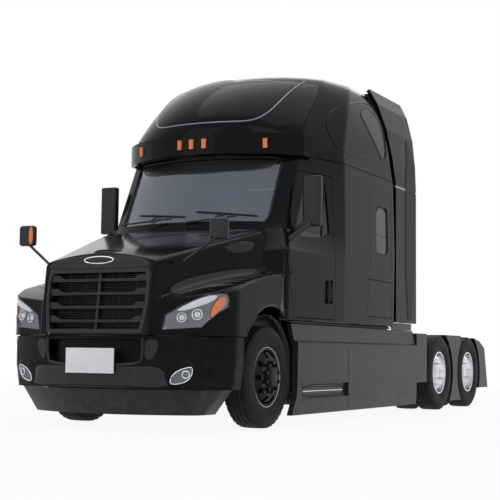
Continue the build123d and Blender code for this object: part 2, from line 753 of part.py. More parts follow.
# Fifth wheel: the stand on the frame, and the plate that tilts on it
fifth_wheel_x = -5930
plate_pivot_z = 1110
plate_low = 1160
plate_thickness = 45
with BuildPart() as fifth_wheel_stand:
    for side in (1, -1):
        near, far = sorted((side * 300, side * 420))
        add(side_prism([(fifth_wheel_x - 220, rail_top + 1), (fifth_wheel_x + 220, rail_top + 1),
                        (fifth_wheel_x + 60, 1135), (fifth_wheel_x - 60, 1135)], near, far))
        add(rod((fifth_wheel_x, near - 1, plate_pivot_z), (fifth_wheel_x, far + 1, plate_pivot_z), 10))
keep(fifth_wheel_stand, "fifth_wheel_stand")

with BuildPart() as fifth_wheel_plate:
    with BuildSketch(plan_plane(plate_low)):
        with BuildLine():
            Line((fifth_wheel_x - 60, -430), (fifth_wheel_x + 80, -430))
            ThreePointArc((fifth_wheel_x + 80, -430), (fifth_wheel_x + 380, 0), (fifth_wheel_x + 80, 430))
            Polyline((fifth_wheel_x + 80, 430), (fifth_wheel_x - 60, 430), (fifth_wheel_x - 480, 330),
                     (fifth_wheel_x - 480, 170), (fifth_wheel_x, 40), (fifth_wheel_x, -40),
                     (fifth_wheel_x - 480, -170), (fifth_wheel_x - 480, -330), (fifth_wheel_x - 60, -430))
        make_face()
    extrude(amount=plate_thickness)
keep(fifth_wheel_plate, "fifth_wheel_plate")

# Tail lamps on the rear cross member
with BuildPart() as tail_lamps:
    for side in (1, -1):
        near, far = sorted((side * 180, side * 400))
        add(block(rail_rear_x - 60, rail_rear_x - 1, near, far, 780, 900))
keep(tail_lamps, "tail_lamps")

# Cab inside: dashboard, steering wheel, seats and bunk
with BuildPart() as dashboard:
    add(side_prism([(-520, 1500), (-520, 1930), (-700, 1990), (-900, 1930), (-940, 1780), (-800, 1500)], -930, 930))
keep(dashboard, "dashboard")

seat_y = 540
with BuildPart() as seats:
    for side in (1, -1):
        near, far = sorted((side * (seat_y - 260), side * (seat_y + 260)))
        add(side_prism([(-1240, 1480), (-1240, 1620), (-1700, 1600), (-1880, 2480), (-1990, 2460), (-1860, 1480)],
                       near, far))
        add(block(-1760, -1320, near + 60, far - 60, 1119, 1482))
keep(seats, "seats")

with BuildPart() as bunk:
    add(block(-3380, -2560, -1150, 1150, 1650, 1830))
    add(block(-3370, -2500, -1184, 1184, 1560, 1651))
keep(bunk, "bunk")

column_base = (-900, seat_y, 1800)
column_end = (-1060, seat_y, 1980)
wheel_rim_radius = 225
with BuildPart() as steering_wheel:
    start = Vector(*column_end) + Vector(front_axle_x, 0, 0)
    lean = Vector(*column_end) - Vector(*column_base)
    with BuildSketch(Plane(origin=start, z_dir=lean)) as spokes:
        Circle(60)
        Rectangle(2 * wheel_rim_radius, 40)
    extrude(amount=20)
    with BuildSketch(Plane(origin=start, z_dir=lean)):
        Circle(wheel_rim_radius + 14)
        Circle(wheel_rim_radius - 14, mode=Mode.SUBTRACT)
    extrude(amount=28)
keep(steering_wheel, "steering_wheel")

# Door mirrors: tall heads on swept arms from the front corner of the door window
mirror_head = (96, 210, 540)
mirror_place = (-800, 1284, 2365)
mirror_round = 36
with BuildPart() as door_mirror_left:
    with Locations((front_axle_x + mirror_place[0], mirror_place[1], mirror_place[2])):
        Box(*mirror_head)
    fillet(door_mirror_left.edges().filter_by(Axis.Z), mirror_round)
    fillet(door_mirror_left.faces().filter_by(Axis.Z).edges(), mirror_round / 2)
    add(front_prism([(1030, 1965), (1030, 2050), (1225, 2160), (1300, 2150), (1290, 2095), (1180, 2060)], -780, -740))
    add(rod((-560, 1110, 1935), (-760, 1262, 2105), 27))
    add(cab_outer, mode=Mode.SUBTRACT)
keep(door_mirror_left, "door_mirror_left")

with BuildPart() as door_mirror_right:
    add(door_mirror_left.part.mirror(Plane.XZ))
keep(door_mirror_right, "door_mirror_right")

# Wipers lying at the foot of the windscreen
with BuildPart() as wipers:
    add(rod((-235, 60, 2125), (-330, 620, 2185), 9))
    add(rod((-235, -760, 2125), (-250, -120, 2175), 9))
keep(wipers, "wipers")
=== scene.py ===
import json
import math
import bpy
import bmesh
from mathutils import Matrix, Vector
from mathutils.bvhtree import BVHTree


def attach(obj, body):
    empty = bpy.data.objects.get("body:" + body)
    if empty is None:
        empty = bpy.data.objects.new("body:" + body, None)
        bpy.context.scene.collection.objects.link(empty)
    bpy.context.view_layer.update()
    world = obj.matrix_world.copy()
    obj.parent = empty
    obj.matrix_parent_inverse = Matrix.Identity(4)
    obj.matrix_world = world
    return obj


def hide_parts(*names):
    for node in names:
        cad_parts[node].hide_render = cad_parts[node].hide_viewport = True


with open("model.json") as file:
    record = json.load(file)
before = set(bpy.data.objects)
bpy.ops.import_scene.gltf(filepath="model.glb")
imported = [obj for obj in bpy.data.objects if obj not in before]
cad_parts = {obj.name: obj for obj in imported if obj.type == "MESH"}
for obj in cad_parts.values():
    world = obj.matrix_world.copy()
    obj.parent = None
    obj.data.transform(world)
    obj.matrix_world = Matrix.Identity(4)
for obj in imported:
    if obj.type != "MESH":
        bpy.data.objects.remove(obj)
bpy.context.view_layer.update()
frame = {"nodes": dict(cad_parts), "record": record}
print("frame loaded")

truck = {"length": 8.98, "nose": 1.42, "driveAxles": {"front": 5.27, "rear": 6.59}}  # behind the front one
wheel = {"z": 0.51, "frontY": 1.04, "driveY": 0.92, "twin": 0.1715}
axleX = truck["length"] / 2 - truck["nose"]  # front axle, from the middle of the truck
sides = {"left": 1, "right": -1}


def at(x, y, z):  # a point told from the front axle
    return Vector((axleX + x, y, z))


# Shader wires and finishes


class Wire:  # a socket that takes part in plain arithmetic
    def __init__(self, owner, socket):
        self.owner = owner
        self.socket = socket

    def join(self, operation, other, flip=False):
        first, second = (other, self) if flip else (self, other)
        return self.owner.node("ShaderNodeMath", {"operation": operation}, {0: first, 1: second})

    def __add__(self, other):
        return self.join("ADD", other)

    def __radd__(self, other):
        return self.join("ADD", other, True)

    def __sub__(self, other):
        return self.join("SUBTRACT", other)

    def __rsub__(self, other):
        return self.join("SUBTRACT", other, True)

    def __mul__(self, other):
        return self.join("MULTIPLY", other)

    def __rmul__(self, other):
        return self.join("MULTIPLY", other, True)


class NodeSet:  # a node tree, and the one way to add to it
    def __init__(self, tree):
        self.tree = tree
        self.tree.nodes.clear()

    def node(self, kind, settings, values, output=0):
        item = self.tree.nodes.new(kind)
        for key, value in settings.items():
            setattr(item, key, value)
        for key, value in values.items():
            if isinstance(value, Wire):
                self.tree.links.new(value.socket, item.inputs[key])
            else:
                item.inputs[key].default_value = value
        return None if output is None else Wire(self, item.outputs[output])


class Finish(NodeSet):  # one procedural material
    def __init__(self, name):
        self.material = bpy.data.materials.new(name)
        self.material.use_nodes = True
        super().__init__(self.material.node_tree)
        self.place = self.node("ShaderNodeTexCoord", {}, {}, "Object")

    def noise(self, scale, detail=3.0, stretch=(1, 1, 1)):
        place = self.node("ShaderNodeVectorMath", {"operation": "MULTIPLY"}, {0: self.place, 1: stretch})
        return self.node("ShaderNodeTexNoise", {}, {"Vector": place, "Scale": scale, "Detail": detail})

    def wave(self, direction, scale, distortion):
        return self.node("ShaderNodeTexWave", {"bands_direction": direction},
                         {"Vector": self.place, "Scale": scale, "Distortion": distortion})

    def axis(self, name):
        return self.node("ShaderNodeSeparateXYZ", {}, {0: self.place}, name)

    def between(self, value, low, high):  # 0 at low, 1 at high
        return self.node("ShaderNodeMapRange", {}, {"Value": value, 1: low, 2: high})

    def tint(self, mask, first, second):
        return self.node("ShaderNodeMix", {"data_type": "RGBA"}, {0: mask, 6: first, 7: second}, 2)

    def bump(self, height, strength, distance):
        return self.node("ShaderNodeBump", {}, {"Height": height, "Strength": strength, "Distance": distance})

    def close(self, **values):
        named = {key.replace("_", " "): value for key, value in values.items()}
        shader = self.node("ShaderNodeBsdfPrincipled", {}, named)
        self.node("ShaderNodeOutputMaterial", {}, {"Surface": shader}, None)
        return self.material


def colour(red, green, blue):
    return (red, green, blue, 1.0)


def scaled(tone, share):
    return colour(*[value * share for value in tone])


def paintFinish(name, tone, roughness):
    f = Finish(name)
    wander = f.noise(1.3, 4)
    dust = f.between(f.axis("Z"), 1.0, 0.1) * f.between(f.noise(9, 6), 0.45, 0.75)  # thicker near the road
    base = f.tint(wander, colour(*tone), scaled(tone, 1.35))
    base = f.tint(dust * 0.1, base, colour(0.16, 0.15, 0.14))
    peel = f.bump(f.noise(260, 1), 0.035, 0.0006)
    return f.close(Base_Color=base, Roughness=roughness + dust * 0.25 + wander * 0.04, Coat_Weight=0.22,
                   Coat_Roughness=0.02, Coat_IOR=1.3, IOR=1.1, Normal=peel)


def plasticFinish(name, tone, roughness, grain=900.0, shine=0.25):
    f = Finish(name)
    wander = f.noise(2.2, 5)
    base = f.tint(wander, scaled(tone, 0.85), scaled(tone, 1.2))
    dust = f.between(f.axis("Z"), 0.9, 0.05) * f.between(f.noise(14, 6), 0.4, 0.8)
    base = f.tint(dust * 0.16, base, colour(0.2, 0.19, 0.18))
    return f.close(Base_Color=base, Roughness=roughness + wander * 0.1, Specular_IOR_Level=shine,
                   Normal=f.bump(f.noise(grain, 2), 0.12, 0.0008))


def metalFinish(name, tone, roughness, grain=90.0):
    f = Finish(name)
    brushing = f.noise(grain, 5, (1, 0.1, 1))
    smudge = f.between(f.noise(6, 5), 0.45, 0.8)
    base = f.tint(smudge, colour(*tone), scaled(tone, 0.8))
    return f.close(Base_Color=base, Metallic=1.0, Roughness=roughness + smudge * 0.12,
                   Normal=f.bump(brushing, 0.05, 0.0005))


def glassFinish(name, tone, low, high, band=None, coat=1.0, shine=0.6):  # band: heights of a dark top
    f = Finish(name)
    film = f.noise(3, 4)
    alpha = low + film * (high - low)
    base = f.tint(film, colour(*tone), scaled(tone, 1.15))
    if band:
        shade = f.between(f.axis("Z"), *band)
        alpha = alpha + shade * (1 - alpha)
        base = f.tint(shade, base, colour(0.01, 0.012, 0.016))
    return f.close(Base_Color=base, Roughness=0.03 + film * 0.02, Alpha=alpha, Coat_Weight=coat,
                   Coat_Roughness=0.01, Specular_IOR_Level=shine)


def lensFinish(name, tone, alpha, ribs):
    f = Finish(name)
    wave = f.wave("Z", ribs, 0.6)
    base = f.tint(wave, colour(*tone), scaled(tone, 1.3))
    return f.close(Base_Color=base, Roughness=0.16 + wave * 0.05, Alpha=alpha, Coat_Weight=0.3,
                   Emission_Color=base, Emission_Strength=0.06, Normal=f.bump(wave, 0.25, 0.002))


def rubberFinish(name):
    f = Finish(name)
    wander = f.noise(11, 6)
    dust = f.between(f.noise(5, 5), 0.42, 0.8)
    base = f.tint(dust * 0.5, colour(0.01, 0.01, 0.0105), colour(0.034, 0.033, 0.031))
    return f.close(Base_Color=base, Specular_IOR_Level=0.2, Roughness=0.62 + wander * 0.2,
                   Normal=f.bump(f.noise(420, 3), 0.2, 0.001))


def wovenFinish(name, tone):
    f = Finish(name)
    weave = f.wave("Y", 180, 1.0) * f.wave("DIAGONAL", 150, 1.0)
    base = f.tint(weave, scaled(tone, 0.7), scaled(tone, 1.3))
    base = f.tint(f.between(f.noise(8, 4), 0.4, 0.7) * 0.3, base, scaled(tone, 0.5))
    return f.close(Base_Color=base, Roughness=0.9, Sheen_Weight=0.25, Normal=f.bump(weave, 0.3, 0.001))


def treadPlateFinish(name):
    f = Finish(name)
    lugs = f.node("ShaderNodeTexChecker", {}, {"Vector": f.place, "Scale": 34}, "Fac")
    ridge = f.between(f.noise(60, 2, (1, 3, 1)), 0.5, 0.62) * lugs
    base = f.tint(f.noise(7, 5), colour(0.42, 0.42, 0.43), colour(0.3, 0.3, 0.3))
    return f.close(Base_Color=base, Metallic=0.9, Roughness=0.34 + ridge * 0.1,
                   Normal=f.bump(ridge, 0.6, 0.002))


finishes = {
    "body_paint": paintFinish("glossBlackPaint", (0.004, 0.0045, 0.006), 0.14),
    "grey_trim": plasticFinish("satinCharcoal", (0.016, 0.017, 0.018), 0.36),
    "glass": glassFinish("tintedGlass", (0.006, 0.008, 0.011), 0.93, 0.97, None, 0.25, 0.15),
    "lamp": glassFinish("clearLens", (0.75, 0.78, 0.82), 0.05, 0.09),
    "amber": lensFinish("amberLens", (0.72, 0.15, 0.008), 1.0, 60),
    "red_lens": lensFinish("redLens", (0.5, 0.01, 0.01), 1.0, 60),
    "plate_white": plasticFinish("blankPlate", (0.9, 0.9, 0.91), 0.3, 300),
    "frame_paint": plasticFinish("satinBlackFrame", (0.02, 0.02, 0.021), 0.42, 500),
    "iron": plasticFinish("paintedCasting", (0.03, 0.03, 0.03), 0.55, 240),
    "alloy": metalFinish("polishedAlloy", (0.86, 0.87, 0.89), 0.14),
    "deck_alloy": treadPlateFinish("treadPlate"),
    "black_rim": paintFinish("glossBlackRim", (0.012, 0.012, 0.013), 0.22),
    "tyre": rubberFinish("tyreRubber"),
    "cabin": plasticFinish("cabinPlastic", (0.07, 0.07, 0.075), 0.55),
    "upholstery": wovenFinish("seatFabric", (0.09, 0.09, 0.1)),
}
screenGlass = glassFinish("windscreenGlass", (0.1, 0.14, 0.2), 0.5, 0.58, (2.66, 2.74))

for subpart in frame["record"]["subparts"]:
    chosen = screenGlass if subpart["node"] == "windshield" else finishes[subpart["material_slot"]]
    for place in frame["nodes"][subpart["node"]].material_slots:
        place.material = chosen
print("finishes on")

# Studio: floor, lights, camera

studio = {"floor": 0.8, "half": 60, "glow": 0.92, "fade": (7, 16), "sky": (0.92, 0.96, 1.0), "ambient": 0.42,
          "backdrop": 1.0}
lamps = {
    "key": {"place": (13, 9, 11), "size": 9, "power": 420},
    "front": {"place": (16, -6, 7), "size": 9, "power": 220},
    "top": {"place": (0, 0, 13), "size": 12, "power": 520},
    "back": {"place": (-14, -4, 10), "size": 9, "power": 400},
}
lampAim = (0, 0, 1.5)
view = {"place": (14.063, 6.571, 0.75), "yaw": 207.074, "pitch": 4.802, "roll": 0.697, "lens": 88.06,
        "far": 300}


def seenRay(nodes):  # 1 for a ray that sees the background itself
    camera, glossy, through = [nodes.node("ShaderNodeLightPath", {}, {}, f"Is {kind} Ray")
                               for kind in ("Camera", "Glossy", "Transmission")]
    return camera.join("MAXIMUM", glossy).join("MAXIMUM", through)


world = bpy.data.worlds.new("studioWorld")
bpy.context.scene.world = world
world.use_nodes = True
sky = NodeSet(world.node_tree)
lit = sky.node("ShaderNodeBackground", {}, {"Color": colour(*studio["sky"]), "Strength": studio["ambient"]})
shown = sky.node("ShaderNodeBackground", {}, {"Color": colour(1, 1, 1), "Strength": studio["backdrop"]})
mixed = sky.node("ShaderNodeMixShader", {}, {0: seenRay(sky), 1: lit, 2: shown})
sky.node("ShaderNodeOutputWorld", {}, {"Surface": mixed}, None)

floorMesh = bpy.data.meshes.new("studioFloor")
floorHalf = studio["half"]
floorCorners = [(x * floorHalf, y * floorHalf, 0) for x, y in ((-1, -1), (1, -1), (1, 1), (-1, 1))]
floorMesh.from_pydata(floorCorners, [], [(0, 1, 2, 3)])
floor = bpy.data.objects.new("studioFloor", floorMesh)
bpy.context.scene.collection.objects.link(floor)
pale = Finish("paleFloor")
matte = pale.node("ShaderNodeBsdfDiffuse", {}, {"Color": colour(*[studio["floor"]] * 3)})
glow = pale.node("ShaderNodeEmission", {}, {"Color": colour(1, 1, 1), "Strength": 1.0})
reach = pale.node("ShaderNodeVectorMath", {"operation": "LENGTH"}, {0: pale.place}, "Value")
far = pale.between(reach, *studio["fade"])  # the floor turns into the backdrop away from the truck
share = seenRay(pale) * (studio["glow"] + far * (1 - studio["glow"]))
blended = pale.node("ShaderNodeMixShader", {}, {0: share, 1: matte, 2: glow})
pale.node("ShaderNodeOutputMaterial", {}, {"Surface": blended}, None)
floorMesh.materials.append(pale.material)

for name, lamp in lamps.items():
    light = bpy.data.lights.new(name, "AREA")
    light.size = lamp["size"]
    light.energy = lamp["power"]
    holder = bpy.data.objects.new(name, light)
    holder.location = lamp["place"]
    holder.rotation_euler = (Vector(lampAim) - holder.location).to_track_quat("-Z", "Y").to_euler()
    bpy.context.scene.collection.objects.link(holder)

yaw, pitch, roll = [math.radians(view[key]) for key in ("yaw", "pitch", "roll")]
ahead = Vector((math.cos(pitch) * math.cos(yaw), math.cos(pitch) * math.sin(yaw), math.sin(pitch)))
level = Vector((math.sin(yaw), -math.cos(yaw), 0))
lift = level.cross(ahead)
right = math.cos(roll) * level + math.sin(roll) * lift
upward = -math.sin(roll) * level + math.cos(roll) * lift
lens = bpy.data.cameras.new("photoCamera")
lens.lens = view["lens"]
lens.clip_end = view["far"]
camera = bpy.data.objects.new("photoCamera", lens)
turned = Matrix((right, upward, -ahead)).transposed().to_4x4()
camera.matrix_world = Matrix.Translation(view["place"]) @ turned
bpy.context.scene.collection.objects.link(camera)
bpy.context.scene.camera = camera
bpy.context.scene.view_settings.view_transform = "Standard"
print("studio set")


# Looks at the CAD surfaces

farOut = 9.0  # where a look starts
landTries = 40
lookStarts = {
    "side": lambda first, second, side: at(first, farOut * side, second),
    "front": lambda first, second, side: Vector((farOut, first * side, second)),
    "back": lambda first, second, side: Vector((-farOut, first * side, second)),
    "top": lambda first, second, side: at(first, second * side, farOut),
}
lookWays = {
    "side": lambda side: Vector((0, -side, 0)),
    "front": lambda side: Vector((-1, 0, 0)),
    "back": lambda side: Vector((1, 0, 0)),
    "top": lambda side: Vector((0, 0, -1)),
}


def solidTree(*names):  # hit test over CAD nodes
    spots = []
    faces = []
    for name in names:
        mesh = frame["nodes"][name].data
        base = len(spots)
        spots += [spot.co.copy() for spot in mesh.vertices]
        faces += [[base + index for index in face.vertices] for face in mesh.polygons]
    return BVHTree.FromPolygons(spots, faces)


def dropPoint(tree, first, second, look, side=1):  # where a look at the truck meets the surface
    way = lookWays[look](side)
    spot, normal, _, _ = tree.ray_cast(lookStarts[look](first, second, side), way)
    if spot is None:
        return None, None
    return spot, (normal if normal.dot(way) < 0 else -normal)


def landPoint(tree, first, second, look, side, centre):  # the point, or the nearest one inwards that lands
    for pull in range(landTries):
        share = pull / landTries
        spot, _ = dropPoint(tree, first + (centre[0] - first) * share, second + (centre[1] - second) * share,
                            look, side)
        if spot is not None:
            return spot
    raise ValueError(f"no surface under {first:.3f}, {second:.3f}")


def nodeOutline(name):  # the hull of a node, seen from the side
    spots = sorted({(round(spot.co.x - axleX, 3), round(spot.co.z, 3))
                    for spot in frame["nodes"][name].data.vertices})

    def chain(points):
        line = []
        for point in points:
            while len(line) > 1 and ((line[-1][0] - line[-2][0]) * (point[1] - line[-2][1])
                                     - (line[-1][1] - line[-2][1]) * (point[0] - line[-2][0])) <= 0:
                line.pop()
            line.append(point)
        return line[:-1]

    return chain(spots) + chain(spots[::-1])


# Lines and faces


def angles(count, extra=0):  # even turns round a circle
    return [2 * math.pi * n / count for n in range(count + extra)]


def runsOf(points, closed):  # each point with the next
    return list(zip(points, points[1:] + points[:1] if closed else points[1:]))


def softened(points, times, closed=False):  # corners cut until the line runs round
    for _ in range(times):
        fresh = [] if closed else [points[0]]
        for first, second in runsOf(points, closed):
            fresh.append(tuple(0.75 * p + 0.25 * q for p, q in zip(first, second)))
            fresh.append(tuple(0.25 * p + 0.75 * q for p, q in zip(first, second)))
        if not closed:
            fresh.append(points[-1])
        points = fresh
    return points


def spaced(points, step, closed=False):  # even steps along a line
    fresh = []
    for first, second in runsOf(points, closed):
        count = max(1, round(math.dist(first, second) / step))
        fresh += [tuple(p + (q - p) * n / count for p, q in zip(first, second)) for n in range(count)]
    if not closed:
        fresh.append(points[-1])
    return fresh


def gridFaces(rows, count, closed=False):  # faces over rows of points
    return [(row * count + n, row * count + (n + 1) % count, (row + 1) * count + (n + 1) % count,
             (row + 1) * count + n)
            for row in range(rows - 1) for n in range(count if closed else count - 1)]


def fanFaces(base, count, tip):  # faces from a ring of points to one
    return [(base + n, base + (n + 1) % count, tip) for n in range(count)]


# Ways of making pieces

joinGap = 0.0002
beadStep = 0.03
innerRings = 7


def finishPiece(name, mesh, finish, body, smooth=True):
    item = bpy.data.objects.new(name, mesh)
    bpy.context.scene.collection.objects.link(item)
    mesh.materials.append(finish)
    if smooth:
        mesh.shade_smooth()
    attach(item, body)
    return item


def cleanMesh(name, spots, faces, join=0.0, bevel=0.0):
    mesh = bpy.data.meshes.new(name)
    mesh.from_pydata([tuple(spot) for spot in spots], [], faces)
    work = bmesh.new()
    work.from_mesh(mesh)
    if join:
        bmesh.ops.remove_doubles(work, verts=work.verts, dist=join)
    bmesh.ops.recalc_face_normals(work, faces=work.faces)
    if bevel:
        bmesh.ops.bevel(work, geom=work.edges[:], offset=bevel, segments=2, affect="EDGES", profile=0.5)
    work.to_mesh(mesh)
    work.free()
    return mesh


def meshPiece(name, spots, faces, finish, body):
    return finishPiece(name, cleanMesh(name, spots, faces, joinGap), finish, body)


def barsPiece(name, boxes, finish, body, bevel=0.0):  # many small bars in one piece
    spots = []
    faces = []
    for low, high in boxes:
        base = len(spots)
        spots += [(x, y, z) for z in (low[2], high[2]) for y in (low[1], high[1]) for x in (low[0], high[0])]
        faces += [tuple(base + index for index in face) for face in
                  ((0, 2, 3, 1), (4, 5, 7, 6), (0, 1, 5, 4), (2, 6, 7, 3), (0, 4, 6, 2), (1, 3, 7, 5))]
    return finishPiece(name, cleanMesh(name, spots, faces, bevel=bevel), finish, body, False)


def thicken(item, thickness):
    item.modifiers.new("wall", "SOLIDIFY").thickness = thickness


def tubeAlong(spots, radius, closed, around=8):  # mesh of a bead laid along points
    ringSpots = []
    faces = []
    total = len(spots)
    for index, spot in enumerate(spots):
        before = spots[(index - 1) % total] if closed or index else spots[0]
        after = spots[(index + 1) % total] if closed or index < total - 1 else spots[-1]
        run = (after - before).normalized()
        out = run.cross(Vector((0, 0, 1)) if abs(run.z) < 0.9 else Vector((1, 0, 0))).normalized()
        up = out.cross(run)
        taper = 1.0 if closed or 0 < index < total - 1 else 0.25
        for angle in angles(around):
            ringSpots.append(spot + (out * math.cos(angle) + up * math.sin(angle)) * radius * taper)
    for index in range(total if closed else total - 1):
        nextIndex = (index + 1) % total
        for turn in range(around):
            other = (turn + 1) % around
            faces.append((index * around + turn, nextIndex * around + turn,
                          nextIndex * around + other, index * around + other))
    if not closed:
        faces.append(tuple(range(around)))
        faces.append(tuple((total - 1) * around + turn for turn in range(around)))
    return ringSpots, faces


def bead(name, points, look, nodes, radius, finish, body, side=1, closed=False, sink=0.3, rounds=2):
    tree = solidTree(*nodes)
    spots = []
    for first, second in spaced(softened(points, rounds, closed), beadStep, closed):
        spot, normal = dropPoint(tree, first, second, look, side)
        if spot is not None:
            spots.append(spot - normal * radius * sink)
    return meshPiece(name, *tubeAlong(spots, radius, closed), finish, body)


def patch(name, outline, look, nodes, profile, finish, body, side=1, rounds=2, step=0.025, centre=None):
    # profile: pairs of a share of the outline and a height above the surface
    tree = solidTree(*nodes)
    edge = spaced(softened(outline, rounds, True), step, True)
    if centre is None:
        centre = tuple(sum(point[k] for point in edge) / len(edge) for k in (0, 1))
    last, top = profile[-1]
    rings = profile + [(last * (innerRings - n) / innerRings, top) for n in range(1, innerRings)]
    way = lookWays[look](side)
    spots = []
    for share, height in rings:
        for point in edge:
            first, second = [centre[k] + (point[k] - centre[k]) * share for k in (0, 1)]
            spots.append(landPoint(tree, first, second, look, side, centre) - way * height)
    count = len(edge)
    faces = gridFaces(len(rings), count, True)
    spot, _ = dropPoint(tree, *centre, look, side)
    if spot is not None:
        spots.append(spot - way * top)
        faces += fanFaces((len(rings) - 1) * count, count, len(spots) - 1)
    return meshPiece(name, spots, faces, finish, body)


def spun(name, profile, centre, finish, body, segments=96, wave=None):  # (out, radius) round the axle
    spots = []
    faces = []
    rows = len(profile)
    for turn, angle in enumerate(angles(segments)):
        for row, (out, radius) in enumerate(profile):
            reach = radius - (wave(turn, row) if wave else 0)
            spots.append(Vector(centre) + Vector((reach * math.sin(angle), out, reach * math.cos(angle))))
        here, there = turn * rows, (turn + 1) % segments * rows
        faces += [(here + row, there + row, there + row + 1, here + row + 1) for row in range(rows - 1)]
    return meshPiece(name, spots, faces, finish, body)


def acrossAxes(facing):  # level and upward ways across a unit vector
    out = facing.cross(Vector((0, 0, 1))).normalized()
    return out, out.cross(facing)


def dome(name, centre, radius, facing, finish, body, depth):
    facing = facing.normalized()
    out, up = acrossAxes(facing)
    rows, around = 6, 24
    spots = []
    for row in range(rows):
        angle = math.pi / 2 * row / rows
        ring = radius * math.cos(angle)
        for spin in angles(around):
            spots.append(centre + (out * math.cos(spin) + up * math.sin(spin)) * ring
                         + facing * radius * depth * math.sin(angle))
    spots.append(centre + facing * radius * depth)
    faces = gridFaces(rows, around, True) + fanFaces((rows - 1) * around, around, len(spots) - 1)
    return meshPiece(name, spots, faces, finish, body)


def hoop(name, centre, radius, thick, facing, finish, body):
    out, up = acrossAxes(facing.normalized())
    spots = [centre + (out * math.cos(spin) + up * math.sin(spin)) * radius for spin in angles(32)]
    return meshPiece(name, *tubeAlong(spots, thick, True), finish, body)


gloss = finishes["body_paint"]
satin = finishes["grey_trim"]
blackTrim = plasticFinish("blackTrim", (0.012, 0.012, 0.013), 0.3, 500)
rubberSeal = plasticFinish("rubberSeal", (0.015, 0.015, 0.016), 0.55, 700)
brightTrim = metalFinish("brightTrim", (0.75, 0.76, 0.78), 0.18)
# grey metal for a ring on the black front rim's flange: a painted highlight
rimLipHighlight = metalFinish("rimLipHighlight", (0.34, 0.35, 0.37), 0.24)
# light bluish grey on the roof panel's rim bead: a painted highlight for the sky reflected on a black painted
# edge
paintedRimHighlight = plasticFinish("paintedRimHighlight", (0.3, 0.32, 0.36), 0.22, 400)
darkChrome = metalFinish("lampBowl", (0.12, 0.13, 0.15), 0.16)
lampWhite = plasticFinish("lampStrip", (0.82, 0.84, 0.86), 0.2, 300)

# Tyres with grooves and shoulder lugs

tyre = {"half": 0.14, "radius": 0.51, "crown": 0.001, "slope": 0.02, "turns": 120, "wallRows": 10,
        "grooves": (-0.078, -0.027, 0.027, 0.078), "grooveDepth": 0.013, "grooveTop": 0.0062,
        "grooveFoot": 0.0046, "grooveRows": 4, "lug": 0.01, "lugEvery": 3, "notch": 0.004}
rimLip = {"out": 0.118, "wide": 0.004, "radius": 0.296, "high": 0.006, "points": 10}


def tyreProfile():
    half, top = tyre["half"], tyre["radius"]
    wide, narrow, deep = tyre["grooveTop"], tyre["grooveFoot"], tyre["grooveDepth"]
    outer = [(-0.112, 0.288), (-0.126, 0.305), (-0.135, 0.335), (-half, 0.375), (-half, 0.415),
             (-0.136, 0.445), (-0.134, 0.449), (-0.132, 0.468), (-0.124, 0.49), (-0.112, top - 0.005)]
    middle = [(spot + shift, top - tyre["crown"] - depth - abs(spot) * tyre["slope"])
              for spot in tyre["grooves"]
              for shift, depth in ((-wide, 0), (-narrow, deep), (narrow, deep), (wide, 0))]
    return outer + middle + [(-out, radius) for out, radius in reversed(outer)]


profileRows = tyreProfile()


def lugWave(turn, row):  # how far a point of the tread is cut in
    wall, four = tyre["wallRows"], tyre["grooveRows"]
    edge = min(row, len(profileRows) - 1 - row)
    lug = tyre["lug"] if edge in (wall - 2, wall - 1) and turn % tyre["lugEvery"] == 0 else 0
    onTread = wall <= row < len(profileRows) - wall
    onLip = (row - wall) % four in (0, four - 1)
    return lug + (tyre["notch"] if onTread and onLip and turn % four == row // four % four else 0)


for side, sign in sides.items():
    centre = at(0, wheel["frontY"] * sign, wheel["z"])
    whole = spun(f"frontTyre_{side}", profileRows, centre, finishes["tyre"], f"front_wheel_{side}",
                 tyre["turns"], lugWave)
    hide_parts(f"front_tyre_{side}")
    # a thin ring on the front rim's flange, coloured as a painted highlight of the flange
    lip = [(rimLip["out"] * sign + rimLip["wide"] * math.cos(a),
            rimLip["radius"] + rimLip["high"] * math.sin(a))
           for a in angles(rimLip["points"], 1)]
    spun(f"frontRimLipHighlight_{side}", lip, centre, rimLipHighlight, f"front_wheel_{side}")
    for order, behind in truck["driveAxles"].items():
        for shift in (-wheel["twin"], wheel["twin"]):
            place = "outer" if shift * sign > 0 else "inner"
            spun(f"driveTyre_{order}_{side}_{place}", profileRows,
                             (axleX - behind, wheel["driveY"] * sign + shift, wheel["z"]), finishes["tyre"],
                             f"drive_wheels_{order}_{side}", tyre["turns"], lugWave)
        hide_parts(f"drive_tyres_{order}_{side}")
print("tyres made")

# Headlamps: bowl, strip, two projectors, amber corner, clear lens

